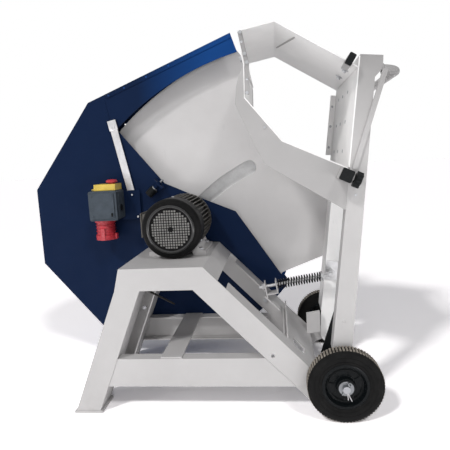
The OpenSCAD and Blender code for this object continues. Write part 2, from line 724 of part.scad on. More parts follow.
module top_arm() color([0.80, 0.81, 0.82]) cradle() difference() {
    plate(near_y, tunnel_l) difference() {
        strip([arm_joint, arm_left, arm_apex, arm_right], sheet_t);
        translate(arm_right - [0, 20]) square(40);
    }
    tube_cuts(near_y - 1, guard_y + 1);
}

module side_straps() color([0.76, 0.77, 0.78]) cradle() for (y = [near_y - 3]) plate(y, 3)
    strip([arm_left + [6, -2], arm_joint + [5, 0], trough_left + [6, 8]], 11);

module guard_outline() difference() {
    intersection() {
        circle(guard_r, $fn = 180);
        polygon([[post_left + post_t, 180], [post_left + post_t, trough_v], trough_low, trough_left,
            trough_fold, arm_left,
            polar(guard_r, guard_first), polar(guard_r + 250, guard_first + 4), polar(guard_r + 250, 132),
            polar(guard_r + 150, guard_last), polar(guard_r, guard_last), polar(spindle_arm + 176, guard_back),
            polar(180, guard_back)]);
    }
    polygon([[0, 0], polar(guard_inner, 160), polar(guard_inner, 150), polar(guard_inner, 142),
        polar(guard_inner + 4, 134), polar(guard_inner + 9, 97.5), polar(guard_inner + 40, 84)]);
}
module spindle_slot() {
    intersection() {
        difference() {
            circle(spindle_arm + slot_half, $fn = 128);
            circle(spindle_arm - slot_half, $fn = 128);
        }
        wedge(spindle_angle - swing, spindle_angle, 2 * guard_r);
    }
    for (a = [spindle_angle - swing, spindle_angle]) translate(polar(spindle_arm, a)) circle(slot_half + 0.8);
}

module guard_near_plate() color([0.80, 0.81, 0.82]) cradle() plate(guard_y, guard_t) difference() {
    guard_outline();
    spindle_slot();
}
module guard_far_plate() color([0.80, 0.81, 0.82]) cradle() plate(guard_end - guard_t, guard_t) guard_outline();
module guard_rim() color([0.80, 0.81, 0.82]) cradle() {
    plate(guard_y + guard_t, guard_end - guard_y - 2 * guard_t) intersection() {
        difference() {
            circle(guard_r, $fn = 180);
            circle(guard_r - guard_t, $fn = 180);
        }
        wedge(guard_first + 0.6, guard_last - 0.2, 2 * guard_r);
    }
}
module guard_spacers() color([0.66, 0.67, 0.70]) cradle() for (a = [101, 125, 149])
    translate([polar(256, a)[0], 0, polar(256, a)[1]]) shaft_y(guard_y + guard_t, guard_end - guard_t, 8);

module pivot_bushes() color([0.70, 0.71, 0.73]) cradle() difference() {
    union() {
        shaft_y(near_y + post_t, near_y + 64, axle_r + 7);
        shaft_y(far_web_y + post_t, far_face - frame_t - 5 - side_gap, axle_r + 7);
    }
    shaft_y(near_y - 10, guard_y + 10, axle_r + run_gap);
}

module push_handle() color([0.80, 0.81, 0.82]) cradle() {
    bend_u = handle_out - handle_bend;
    for (y = [handle_near, handle_far]) translate([post_top + 17.2, y, handle_v]) rotate([0, 90, 0])
        cylinder(h = bend_u - post_top - 17.2, r = handle_r);
    translate([bend_u, handle_near + handle_bend, handle_v]) rotate([0, 0, -90]) rotate_extrude(angle = 90)
        translate([handle_bend, 0]) circle(handle_r);
    translate([bend_u, handle_far - handle_bend, handle_v]) rotate_extrude(angle = 90)
        translate([handle_bend, 0]) circle(handle_r);
    translate([handle_out, 0, handle_v]) shaft_y(handle_near + handle_bend, handle_far - handle_bend, handle_r);
    for (y = [near_y - 6, guard_y]) plate(y, 6) {
        bar([-22, trough_v + 5], [27, handle_v - 6], 13);
        for (p = [[-22, trough_v + 5], [27, handle_v - 6]]) translate(p) circle(6.5);
    }
}

module box_tube(at, angle, size, wall) translate(at) rotate(angle) difference() {
    square(size, center = true);
    square(size - [2 * wall, 2 * wall], center = true);
}
module support_tubes() color([0.76, 0.77, 0.78]) cradle() {
    plate(upper_end, upper_back - upper_end) box_tube(upper_tube, arm_angle, upper_size, tube_t);
    difference() {
        union() {
            plate(lower_end, tube_back - lower_end) box_tube(lower_tube, floor_angle, [tube_w, tube_w], tube_t);
            translate([lower_tube[0], knob_y, lower_tube[1]]) rotate([0, -floor_angle, 0])
                translate([tube_w / 2, 0, 0]) rotate([0, 90, 0]) cylinder(h = 7, r = 9);
        }
        translate([lower_tube[0], knob_y, lower_tube[1]]) rotate([0, -floor_angle, 0])
            translate([tube_w / 2 - tube_t - 1, 0, 0]) rotate([0, 90, 0]) cylinder(h = 12, r = 4 + run_gap);
    }
}
module tube_plugs() color([0.06, 0.06, 0.07]) cradle() {
    plate(upper_end - 5, 5) translate(upper_tube) rotate(arm_angle) translate(-upper_size / 2)
        rounded(upper_size[0], upper_size[1], 3);
    plate(upper_end, 12) translate(upper_tube) rotate(arm_angle)
        square(upper_size - [2 * tube_t, 2 * tube_t], center = true);
}

module extension_bar() color([0.74, 0.75, 0.77]) cradle() {
    inner = tube_w - 2 * tube_t - 2 * side_gap;
    plate(lower_end - 0.3, 340) box_tube(lower_tube, floor_angle, [inner, inner], tube_t);
}
module bar_cap() color([0.06, 0.06, 0.07]) cradle() plate(lower_end - 8.3, 8) translate(lower_tube)
    rotate(floor_angle) translate([-tube_w / 2 - 0.5, -tube_w / 2 - 0.5]) rounded(tube_w + 1, tube_w + 1, 4);
module star_knob() color([0.06, 0.06, 0.07]) cradle() translate([lower_tube[0], knob_y, lower_tube[1]])
    rotate([0, -floor_angle, 0]) rotate([0, 90, 0]) {
        translate([0, 0, tube_w / 2 - tube_t + 0.2]) cylinder(h = 12, r = 4);
        translate([0, 0, tube_w / 2 + 7 + side_gap]) cylinder(h = 6, r = 11);
        translate([0, 0, tube_w / 2 + 10]) linear_extrude(16) difference() {
            circle(knob_d / 2);
            for (i = [0:6]) rotate(360 / 7 * i) translate([knob_d / 2 + 3, 0]) circle(7);
        }
    }

module cradle_bolts() color([0.70, 0.71, 0.73]) cradle() {
    for (p = [[-335, 321], [-320, 270], [-313, 249], [-308, 175]]) translate([p[0], 0, trough_v + p[1]])
        hex_y(near_y - 8, near_y - 3, 8);
    for (p = [[-258, 92], [-14, -66], [-14, -46]]) translate([p[0], 0, trough_v + p[1]])
        hex_y(near_y - 3, near_y, 6);
    for (y = [30, 160, 290, 400]) translate([trough_lip[0], near_y + y, trough_lip[1]])
        rotate([0, -atan2(flange_dir[1], flange_dir[0]), 0])
        translate([-14, 0, sheet_t / 2]) cylinder(h = 6, d = 13 / cos(30), $fn = 6);
}

// Return spring
module spring_clevis() color([0.72, 0.73, 0.75]) cradle() {
    foot_y = guard_y - far_depth;
    plate(foot_y - 4, 4) translate([post_left, 188]) square([post_foot - post_left - 6, 64]);
    translate([pin_uv[0], 0, pin_uv[1]]) {
        shaft_y(spring_y - 14, foot_y, pin_r);
        shaft_y(spring_y + 6 + side_gap, foot_y - 4, pin_r + 4);
        hex_y(spring_y - 13, spring_y - 6 - side_gap, 18);
    }
}

module spring_rod() color([0.80, 0.81, 0.83]) on_rod() difference() {
    union() {
        shaft_y(-6, 6, 13);
        rotate([0, -90, 0]) cylinder(h = rod_end, r = rod_d / 2);
        translate([-collar_s, 0, 0]) rotate([0, -90, 0]) cylinder(h = 5, r = spring_d / 2 + 1);
        translate([-ear_s - 2 * ear_t - ear_gap - side_gap, 0, 0]) rotate([0, -90, 0])
            cylinder(h = 9, d = 17 / cos(30), $fn = 6);
    }
    shaft_y(-8, 8, pin_r + run_gap);
}

module spring_bracket() color([0.78, 0.79, 0.80]) difference() {
    at_axle() plate(spring_y - 20, 40) intersection() {
        translate(pin) rotate(rod_slope) {
            translate([-ear_s - ear_t, -26]) square([ear_t, 42]);
            translate([-ear_s - 2 * ear_t - ear_gap, -26]) square([2 * ear_t + ear_gap, ear_t]);
            translate([-ear_s - 2 * ear_t - ear_gap, -60]) square([ear_t, 76]);
        }
        polygon([right_top, right_top + [500, 0], right_end + [300, 0], right_end]);
    }
    rod_way(ear_s - 5, ear_s + 50, rod_d / 2 + 0.8);
}

// The coil is one tube of six sides along a formula, with a short straight run at each end
coil_r = (spring_d - spring_wire) / 2;
coil_steps = curls * 8;
coil_run = coil_end - coil_start - 2 * spring_wire;
function coil_point(i) = [-coil_start - spring_wire - coil_run * i / coil_steps, coil_r * cos(45 * i),
    coil_r * sin(45 * i)];
coil_path = concat([coil_point(0) + [spring_wire, 0, 0]], [for (i = [0:coil_steps]) coil_point(i)],
    [coil_point(coil_steps) - [spring_wire, 0, 0]]);
function coil_way(i) = unit(coil_path[min(i + 1, len(coil_path) - 1)] - coil_path[max(i - 1, 0)]);
function coil_out(i) = let (p = coil_path[i], w = coil_way(i), o = unit([0, p[1], p[2]])) unit(o - w * (o * w));
function coil_ring(i) = let (o = coil_out(i), w = coil_way(i), q = cross(w, o))
    [for (k = [0:5]) coil_path[i] + (o * cos(60 * k) + q * sin(60 * k)) * spring_wire / 2];
least_gap = min([for (i = [1:coil_steps - 8], k = [6:10]) norm(coil_path[i] - coil_path[i + k])]) - spring_wire;
echo(coil_gap = least_gap);

module return_spring() color([0.80, 0.81, 0.83]) on_rod() {
    n = len(coil_path);
    points = [for (i = [0:n - 1]) each coil_ring(i)];
    faces = concat([[5, 4, 3], [5, 3, 2], [5, 2, 1], [5, 1, 0]],
        [for (i = [0:n - 2], k = [0:5], h = [0, 1]) let (a = 6 * i + k, b = 6 * i + (k + 1) % 6)
            h == 0 ? [a, b, b + 6] : [a, b + 6, a + 6]],
        [for (k = [1:4]) [6 * n - 6, 6 * n - 6 + k, 6 * n - 5 + k]]);
    polyhedron(points, faces);
}

// Lock plunger
module plunger_bracket() color([0.06, 0.13, 0.30]) difference() {
    union() {
        at_axle() plate(hood_y - 40, 40) translate(lock_at) rotate(lock_angle) translate([-2.5, -22])
            square([5, 44]);
        on_lock() translate([0, 0, -20]) cylinder(h = 28, r = 8);
    }
    on_lock() translate([0, 0, -30]) cylinder(h = 60, r = lock_r + run_gap);
}
module lock_pin() color([0.80, 0.81, 0.83]) on_lock() translate([0, 0, -46]) cylinder(h = 66, r = lock_r);
module lock_knob() color([0.06, 0.06, 0.07]) on_lock() difference() {
    translate([0, 0, -54]) cylinder(h = 30, r = 14);
    translate([0, 0, -46]) cylinder(h = 40, r = lock_r + run_gap);
}

top_plate();
left_legs();
right_legs();
bottom_rails();
cross_ties();
frame_plates();
frame_bolts();
axle();
hood_near_plate();
hood_far_plate();
hood_rim();
brace_strap();
switch_bracket();
switch_box();
power_inlet();
inlet_pins();
motor_body();
end_shield();
fan_cover();
terminal_box();
motor_bearings();
motor_bolts();
spring_bracket();
plunger_bracket();
motor_shaft();
cooling_fan();
blade_flanges();
saw_blade();
near_post();
far_post();
v_plate();
trough_floor();
right_wall();
top_arm();
side_straps();
guard_near_plate();
guard_far_plate();
guard_rim();
guard_spacers();
pivot_bushes();
push_handle();
support_tubes();
tube_plugs();
cradle_bolts();
spring_clevis();
spring_rod();
return_spring();
extension_bar();
bar_cap();
star_knob();
near_tyre();
near_hub();
far_tyre();
far_hub();
lock_pin();
lock_knob();
switch_flap();
stop_button();
start_button();
off_button();
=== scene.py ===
# %% [markdown]
# # Dressing a tilting log saw
# This lesson dresses a firewood saw whose cradle rocks a log into the blade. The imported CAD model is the
# fixed frame of the scene: every CAD node stays where it is and gets a finish with real surface detail.
# Small pieces that the CAD model leaves out, such as rivets, weld beads, rolled rings and moulded lines,
# are built here in mesh code. Each of them rides on a CAD body, so it moves along when the cradle rocks or
# a wheel rolls.

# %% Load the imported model
import bpy
import bmesh
import math
from mathutils import Matrix, Vector


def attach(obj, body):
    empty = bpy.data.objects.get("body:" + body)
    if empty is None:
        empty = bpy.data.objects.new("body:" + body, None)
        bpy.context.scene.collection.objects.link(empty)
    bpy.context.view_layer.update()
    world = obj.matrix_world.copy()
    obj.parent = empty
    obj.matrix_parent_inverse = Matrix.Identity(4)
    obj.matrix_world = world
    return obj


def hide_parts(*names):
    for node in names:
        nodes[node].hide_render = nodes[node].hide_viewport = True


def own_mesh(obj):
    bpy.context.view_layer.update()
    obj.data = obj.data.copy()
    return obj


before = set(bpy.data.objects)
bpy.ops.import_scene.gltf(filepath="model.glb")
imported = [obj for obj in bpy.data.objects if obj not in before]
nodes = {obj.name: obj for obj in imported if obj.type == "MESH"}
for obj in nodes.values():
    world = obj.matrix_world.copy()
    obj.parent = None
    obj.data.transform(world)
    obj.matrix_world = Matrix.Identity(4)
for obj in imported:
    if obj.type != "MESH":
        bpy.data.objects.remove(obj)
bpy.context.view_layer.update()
scene = bpy.context.scene

# %% [markdown]
# ## One drawing for the whole machine
# A maker measures this saw from its wheel axle, because the cradle rocks about it. Places could be typed
# in metres of the scene, but then no number could be checked against the machine. So they are written in
# millimetres, x from the axle, y from the middle of the machine and z from the floor, and one function
# turns them into metres. Sizes of small pieces are in metres. The cradle leans by 6.3 degrees, so it has a
# frame of its own: u across its posts and v along them.

# %% Points on the drawing
AXLE_X = 425.632
AXLE_Z = 100.0
RIGHT, NEAR, FAR, UP = Vector((1, 0, 0)), Vector((0, -1, 0)), Vector((0, 1, 0)), Vector((0, 0, 1))
SQUARE = (RIGHT, FAR, UP)


def at(x, y, z):
    """A place given in millimetres, as metres of the scene."""
    return Vector(((AXLE_X + x) / 1000, y / 1000, z / 1000))


AXLE = at(0, 0, AXLE_Z)
print("axle in the scene:", [round(c, 4) for c in AXLE])

# %% The leaning frame of the cradle
LEAN = math.radians(6.3)


def cradle_way(u, v):
    """A direction in the cradle's frame."""
    across = u * math.cos(LEAN) + v * math.sin(LEAN)
    height = -u * math.sin(LEAN) + v * math.cos(LEAN)
    return Vector((across, 0, height)).normalized()


def cradle_at(u, y, v):
    """A place on the cradle: u across the posts and v along them, both from the axle."""
    x = u * math.cos(LEAN) + v * math.sin(LEAN)
    z = AXLE_Z - u * math.sin(LEAN) + v * math.cos(LEAN)
    return at(x, y, z)


print("along the posts:", [round(c, 4) for c in cradle_way(0, 1)])

# %% [markdown]
# ## Camera
# The picture looks at the motor side of the saw from a little to the right, at about two thirds of its
# height. A camera could be turned by hand until the picture fits. Here its directions were solved from
# known edges of the machine instead, so that the wheels, the hood and the posts land on their places, and
# they are set as one matrix.

# %% Camera
LENS_MM, SENSOR_MM, VIEW_LIMIT = 38.0, 36.0, 200.0
spot = Vector((0.26756, -1.47870, 0.70490))
right = Vector((0.99297, 0.10566, -0.05327)).normalized()
look = Vector((-0.11211, 0.98407, -0.13795)).normalized()
top = right.cross(look).normalized()
stand_point = Matrix((right, top, -look)).transposed().to_4x4()
stand_point.translation = spot
camera = bpy.data.objects.new("camera", bpy.data.cameras.new("camera"))
scene.collection.objects.link(camera)
camera.matrix_world = stand_point
camera.data.sensor_width = SENSOR_MM
camera.data.lens = LENS_MM
camera.data.clip_end = VIEW_LIMIT
scene.camera = camera
print("camera stands", round(spot.length, 2), "m from the middle of the floor")

# %% [markdown]
# ## Material kit
# Paint, plating, plastic and rubber differ in colour, gloss and grain, yet all of them come from the same
# few nodes. Each material could be wired by hand in the node editor, or by lines that repeat every link. A
# small class does the wiring instead, so a recipe reads like a list of what is on the surface. Object
# coordinates give each grain a real size and keep it in place on a piece that moves.

# %% A material and its nodes


class Shader:
    """A material with its shader, its texture space and a short way to add, link and set nodes."""

    def __init__(self, name):
        self.material = bpy.data.materials.new(name)
        self.material.use_nodes = True
        self.tree = self.material.node_tree
        self.shader = self.tree.nodes["Principled BSDF"]
        self.space = self.add("ShaderNodeTexCoord").outputs["Object"]

    def add(self, kind, **settings):
        node = self.tree.nodes.new(kind)
        for key, value in settings.items():
            setattr(node, key, value)
        return node

    def link(self, out, socket):
        self.tree.links.new(out, socket)

    def put(self, socket, value):
        self.shader.inputs[socket].default_value = value


print("a material can be started")

# %% [markdown]
# ### Grain
# No real surface is one even colour: it has clouds, specks and wear. A painted picture could show them,
# but each piece would have to be unwrapped for it. Noise fills space by itself and needs no unwrapping. A
# ramp turns it into colours, and a span turns it into a value between two limits.

# %% Grain


class Grain(Shader):
    """Noise of a real size, and ways to turn it into colours and values."""

    def noise(self, scale, detail=3.0, rough=0.55, stretch=None):
        node = self.add("ShaderNodeTexNoise")
        for key, number in (("Scale", scale), ("Detail", detail), ("Roughness", rough)):
            node.inputs[key].default_value = number
        space = self.space
        if stretch:
            mapping = self.add("ShaderNodeMapping")
            mapping.inputs["Scale"].default_value = stretch
            self.link(space, mapping.inputs["Vector"])
            space = mapping.outputs["Vector"]
        self.link(space, node.inputs["Vector"])
        return node.outputs["Fac"]

    def ramp(self, value, stops):
        node = self.add("ShaderNodeValToRGB")
        for spare in list(node.color_ramp.elements)[1:]:
            node.color_ramp.elements.remove(spare)
        for i, (place, colour) in enumerate(stops):
            element = node.color_ramp.elements[0] if i == 0 else node.color_ramp.elements.new(place)
            element.position = place
            element.color = (*colour, 1.0)
        self.link(value, node.inputs["Fac"])
        return node.outputs["Color"]

    def span(self, value, low, high, start=0.3, end=0.7):
        """Runs from low to high while value runs from start to end."""
        node = self.add("ShaderNodeMapRange")
        for key, number in (("From Min", start), ("From Max", end), ("To Min", low), ("To Max", high)):
            node.inputs[key].default_value = number
        self.link(value, node.inputs["Value"])
        return node.outputs["Result"]


print("grain can be added")

# %% [markdown]
# ### Masks
# Dust lies low, wear sits on edges, and a strip may be brighter at its tip. Vertex colours could mark such
# places, but a CAD node's mesh has to stay as it is. So a mask is worked out from the place of each point:
# its height, its depth, or its distance from a shaft. The product of two masks holds a change to where
# both are at work.

# %% Masks


class Masks(Grain):
    """Values worked out from the place of a point."""

    def math(self, operation, first, second):
        node = self.add("ShaderNodeMath", operation=operation)
        for i, value in enumerate((first, second)):
            if isinstance(value, (int, float)):
                node.inputs[i].default_value = value
            else:
                self.link(value, node.inputs[i])
        return node.outputs["Value"]

    def both(self, first, second):
        return self.math("MULTIPLY", first, second)

    def part(self, vector, axis):
        node = self.add("ShaderNodeSeparateXYZ")
        self.link(vector, node.inputs["Vector"])
        return node.outputs[axis]

    def place(self, axis):
        return self.part(self.space, axis)

    def around(self, shaft):
        """The distance from a shaft that runs along Y through the point shaft."""
        across = self.math("SUBTRACT", self.place("X"), shaft.x)
        height = self.math("SUBTRACT", self.place("Z"), shaft.z)
        return self.math("SQRT", self.math("ADD", self.both(across, across), self.both(height, height)), 0.0)


print("masks can be worked out")

# %% [markdown]
# ### Layers
# A finish is built up like the real one, from the ground colour to the dirt on top. The layers could be
# separate shaders that are blended, which costs time in every render. Mixing their colours first keeps one
# shader in each material. Bumps are chained in the same way, so that a fine peel can lie on slow waves.

# %% Layers


class Finish(Masks):
    """What the shader receives: colour in layers, roughness and bumps."""

    def mix(self, share, first, second):
        node = self.add("ShaderNodeMix", data_type="RGBA")
        self.link(share, node.inputs["Factor"])
        for value, socket in ((first, node.inputs["A"]), (second, node.inputs["B"])):
            if isinstance(value, tuple):
                socket.default_value = (*value, 1.0)
            else:
                self.link(value, socket)
        return node.outputs["Result"]

    def colour(self, value):
        self.link(value, self.shader.inputs["Base Color"])

    def cover(self, share, colour):
        """Lays a colour over what is there, as far as share goes."""
        below = self.shader.inputs["Base Color"].links[0].from_socket
        self.colour(self.mix(share, below, colour))

    def roughness(self, value):
        self.link(value, self.shader.inputs["Roughness"])

    def bump(self, height, strength, distance):
        node = self.add("ShaderNodeBump")
        node.inputs["Strength"].default_value = strength
        node.inputs["Distance"].default_value = distance
        self.link(height, node.inputs["Height"])
        normal = self.shader.inputs["Normal"]
        if normal.is_linked:
            self.link(normal.links[0].from_socket, node.inputs["Normal"])
        self.link(node.outputs["Normal"], normal)


print("layers can be laid")

# %% [markdown]
# ## Powder coat
# The folded sheets of the stand and the cradle wear a thin satin powder coat. It is baked on, so it has
# faint clouds and a fine orange peel, and in use it gathers dust near the floor and a few rubs. One even
# colour would look like plastic. So slow noise shades the colour, a mask by height brings in the dust,
# stretched noise makes the rubs, and two bumps, one fine and one slow, keep reflections from being
# perfect.

# %% Powder coat
RUB_STRETCH = (1.0, 1.0, 0.22)


def shade(colour, factor):
    """The same colour, darker or lighter."""
    return tuple(min(1.0, c * factor) for c in colour)


def powder_coat(name, colour, rough=(0.38, 0.52), peel=0.10, dust=0.20, scuff=(0.42, 0.42, 0.42)):
    coat = Finish(name)
    clouds = coat.noise(7.0, detail=4.0)
    coat.colour(coat.ramp(clouds, [(0.30, shade(colour, 0.955)), (0.70, shade(colour, 1.035))]))
    near_floor = coat.span(coat.place("Z"), 1.0, 0.0, start=0.0, end=0.16)
    specks = coat.span(coat.noise(38.0, detail=5.0), 0.0, dust, start=0.42, end=0.68)
    coat.cover(coat.both(near_floor, specks), shade(scuff, 0.9))
    rubs = coat.noise(60.0, detail=6.0, rough=0.7, stretch=RUB_STRETCH)
    coat.cover(coat.span(rubs, 0.0, 0.16, start=0.63, end=0.72), scuff)
    coat.roughness(coat.span(coat.noise(26.0, detail=4.0), *rough))
    coat.bump(coat.noise(900.0, detail=2.0), peel, 0.0004)
    coat.bump(coat.noise(9.0, detail=2.0), 0.05, 0.004)
    coat.put("Specular IOR Level", 0.25)
    return coat


print("powder coat recipe ready")

# %% [markdown]
# ### Pale sheets
# All pale sheets of the saw have the same light grey coat. Light and shade are painted into it group by
# group: the front plate of the cradle gets a darker copy as painted shade, and its guard and the inside of
# its log tunnel get lighter copies as painted light. More lamps could even this out, but they would flatten
# the folds. So each group gets its own lit or shaded copy of one grey.

# %% Pale coats
PALE = (0.505, 0.495, 0.495)
TUNNEL_LIT_GREY = (0.920, 0.912, 0.908)
WARM_SCUFF = (0.42, 0.41, 0.40)
pale_coat = powder_coat("pale_coat", PALE)
# front coat: painted shade; guard and tunnel coats: painted light
shaded_front_coat = powder_coat("shaded_front_coat", shade(PALE, 0.80))
lit_guard_coat = powder_coat("lit_guard_coat", shade(PALE, 1.16))
lit_tunnel_coat = powder_coat("lit_tunnel_coat", TUNNEL_LIT_GREY)
stand_coat = powder_coat("stand_coat", shade(PALE, 1.01), (0.40, 0.55), 0.12, 0.22, WARM_SCUFF)
print("pale coats:", [c.material.name for c in (pale_coat, shaded_front_coat, lit_guard_coat, lit_tunnel_coat, stand_coat)])

# %% [markdown]
# ### Shaded top of the near post
# The near post grows darker towards its top, where it leans out of the light. The post could be cut in two
# and painted twice, but a CAD node stays whole. A mask by height darkens the coat instead, and a second
# one by depth keeps the shade off the pieces behind it.

# %% Post top
NEAR_SIDE = -0.2
POST_SHADE = 0.52
up_the_post = pale_coat.span(pale_coat.place("Z"), 0.0, POST_SHADE, start=0.72, end=0.98)
near_side = pale_coat.math("LESS_THAN", pale_coat.place("Y"), NEAR_SIDE)
pale_coat.cover(pale_coat.both(up_the_post, near_side), shade(PALE, 0.2))
print("post darkens by up to", POST_SHADE)

# %% [markdown]
# ## Dark blue coat
# The hood over the blade is dark blue. Its upper strip turns brighter towards the tip, and that brighter
# blue is painted light. A second material on the strip would end at a hard line. The powder coat recipe is
# used again, with less gloss, and the product of a mask along the hood and a mask by height fades in the
# painted light.

# %% Dark blue coat
NAVY, STRIP_PAINTED_LIGHT, NAVY_SCUFF = (0.0060, 0.0146, 0.0440), (0.0090, 0.0560, 0.2150), (0.03, 0.04, 0.07)
navy = powder_coat("navy_coat", NAVY, (0.46, 0.58), peel=0.08, dust=0.2, scuff=NAVY_SCUFF)
navy.put("Specular IOR Level", 0.06)
# painted light: the upper strip turns a brighter blue towards the tip
light_towards_tip = navy.span(navy.place("X"), 0.0, 1.0, start=-0.19, end=0.06)
upper_strip = navy.span(navy.place("Z"), 0.0, 1.0, start=0.80, end=0.86)
navy.cover(navy.both(light_towards_tip, upper_strip), STRIP_PAINTED_LIGHT)
print("blue coat:", navy.material.name)

# %% [markdown]
# ### Inside of the hood
# The rim and the far plate of the hood are the same blue, but near the tip light bounces between the
# plates and their inner faces look brighter. The renderer could find that light with many more bounces. A
# mask on the way that a face points is quicker: faces towards the viewer's side get the brighter blue, and
# only near the tip.

# %% Inner blue coat
INNER_DARK, INNER_LIT = (0.0120, 0.0300, 0.0900), (0.0100, 0.0640, 0.2500)
INNER_CLOUD = (0.006, 0.018, 0.058)
inner_blue = Finish("inner_blue_coat")
inner_blue.put("Specular IOR Level", 0.15)
near_tip = inner_blue.span(inner_blue.place("X"), 0.0, 1.0, start=-0.36, end=-0.10)
facing = inner_blue.part(inner_blue.add("ShaderNodeNewGeometry").outputs["Normal"], "Y")
facing_near = inner_blue.span(facing, 1.0, 0.0, start=-0.6, end=0.2)
inner_blue.colour(inner_blue.mix(inner_blue.both(near_tip, facing_near), INNER_DARK, INNER_LIT))
inner_blue.cover(inner_blue.span(inner_blue.noise(12.0, detail=4.0), 0.0, 0.18), INNER_CLOUD)
inner_blue.roughness(inner_blue.span(inner_blue.noise(26.0, detail=4.0), 0.34, 0.48))
inner_blue.bump(inner_blue.noise(900.0, detail=2.0), 0.08, 0.0004)
print("inner coat:", inner_blue.material.name)

# %% [markdown]
# ## Plated and bare metal
# Bolts, straps and the spring are plated or bare steel. Zinc grows in small crystals, turned steel has
# fine rings, and a ground blade has straight marks. Plain metal with one roughness would look like chrome.
# Voronoi cells give the crystals, and noise that is stretched along one axis gives the marks, in the
# roughness and in a slight bump.

# %% Plated metal
EVEN_GRAIN = (1.0, 1.0, 1.0)
CRYSTALS = 140.0


def plated(name, colour, rough, grain=EVEN_GRAIN, scale=160.0, strength=0.06):
    metal = Finish(name)
    clouds = metal.noise(34.0, detail=4.0)
    metal.colour(metal.ramp(clouds, [(0.30, shade(colour, 0.86)), (0.72, shade(colour, 1.08))]))
    spangle = metal.add("ShaderNodeTexVoronoi")
    spangle.inputs["Scale"].default_value = CRYSTALS
    metal.link(metal.space, spangle.inputs["Vector"])
    metal.cover(metal.span(spangle.outputs["Distance"], 0.0, 0.22, start=0.2, end=0.6), shade(colour, 0.78))
    metal.put("Metallic", 0.92)
    metal.roughness(metal.span(metal.noise(scale, rough=0.6, stretch=grain), *rough))
    metal.bump(metal.noise(scale * 2, rough=0.6, stretch=grain), strength, 0.0005)
    return metal


print("metal recipe ready")

# %% Metals of the saw
RING_MARKS, GRIND_MARKS = (1.0, 9.0, 1.0), (1.0, 1.0, 14.0)
zinc = plated("zinc_plate", (0.66, 0.66, 0.67), (0.30, 0.46))
bolt_zinc = plated("bolt_zinc", (0.52, 0.53, 0.55), (0.26, 0.44))
turned_steel = plated("turned_steel", (0.34, 0.35, 0.37), (0.20, 0.36), RING_MARKS, 220.0, 0.10)
# the blade is near white and hardly metallic: painted light, so it stays pale in the shade behind the
# guard's slot
blade_steel = plated("blade_steel", (0.95, 0.95, 0.95), (0.42, 0.52), GRIND_MARKS, 90.0, 0.04)
blade_steel.put("Metallic", 0.05)
wire_steel = plated("spring_wire", (0.016, 0.0155, 0.015), (0.34, 0.50), EVEN_GRAIN, 240.0, 0.12)
brass = plated("contact_brass", (0.62, 0.42, 0.13), (0.18, 0.32))
carbide = plated("carbide", (0.24, 0.24, 0.25), (0.30, 0.45))
print("metals:", [m.material.name for m in (zinc, bolt_zinc, turned_steel, blade_steel, wire_steel)])

# %% [markdown]
# ### Axle and washers
# The end of the axle is a lighter grey than the washer round it. In the CAD model both are one node, so they
# cannot have two materials without a change to its mesh. A mask by the distance from the axle's middle keeps
# the lighter grey to the end of the shaft.

# %% Axle steel
SHAFT_EDGE, WASHER_EDGE = 0.0088, 0.0100
axle_steel = plated("axle_steel", (0.27, 0.282, 0.295), (0.26, 0.42))
shaft_end = axle_steel.span(axle_steel.around(AXLE), 1.0, 0.0, start=SHAFT_EDGE, end=WASHER_EDGE)
axle_steel.cover(shaft_end, (0.40, 0.41, 0.43))
print("bright to", SHAFT_EDGE * 1000, "mm from the axle's middle")

# %% [markdown]
# ## Moulded plastic
# The switch box, its flap and buttons, the grips and the wheel hubs are moulded. A mould leaves a very
# fine grain and slightly dull patches, and dust stays in the grain. Each colour could have a material of
# its own from scratch, but the mould is what they share, so one recipe takes the colour, the gloss, the
# grain and the dust.

# %% Moulded plastic
GRIME = (0.22, 0.21, 0.20)


def moulded(name, colour, rough=(0.36, 0.52), grain=0.14, scale=1400.0, dust=0.10, gloss=0.5):
    plastic = Finish(name)
    patches = plastic.noise(40.0, detail=4.0)
    plastic.colour(plastic.ramp(patches, [(0.32, shade(colour, 0.86)), (0.70, shade(colour, 1.12))]))
    specks = plastic.noise(120.0, detail=6.0, rough=0.7)
    plastic.cover(plastic.span(specks, 0.0, dust, start=0.55, end=0.75), GRIME)
    plastic.roughness(plastic.span(plastic.noise(70.0, detail=4.0), *rough))
    plastic.bump(plastic.noise(scale, detail=2.0), grain, 0.0003)
    plastic.put("Specular IOR Level", gloss)
    return plastic


print("plastic recipe ready")

# %% Plastics of the saw
SMOOTH = (0.30, 0.44)
black_plastic = moulded("black_plastic", (0.0080, 0.0092, 0.0100), dust=0.05, gloss=0.14)
hub_plastic = moulded("hub_plastic", (0.0040, 0.0052, 0.0060), (0.20, 0.32), 0.06, 700.0, 0.03, 0.14)
box_plastic = moulded("switch_box_plastic", (0.0600, 0.0740, 0.0910), (0.46, 0.60), 0.18, gloss=0.15)
pale_plastic = moulded("fan_plastic", (0.50, 0.49, 0.475), (0.45, 0.6))
yellow_plastic = moulded("yellow_plastic", (0.640, 0.470, 0.080), SMOOTH, 0.08, 900.0, 0.06)
red_plastic = moulded("red_plastic", (0.440, 0.0280, 0.0420), SMOOTH, 0.08, 900.0, 0.06)
green_plastic = moulded("green_plastic", (0.02, 0.26, 0.06), SMOOTH, 0.08)
print("plastics:", [p.material.name for p in (black_plastic, hub_plastic, box_plastic, yellow_plastic)])

# %% [markdown]
# ## Motor enamel
# The motor is black enamel: dull and dusty on its cast fins, smoother on the pressed fan cover, glossy on
# the rolled ring. The feet under it are pale like the table. Fins and feet are one node, so two masks by
# the distance from the spindle do the work: one dusts the tips of the fins, and one, only below the
# spindle, paints the feet.

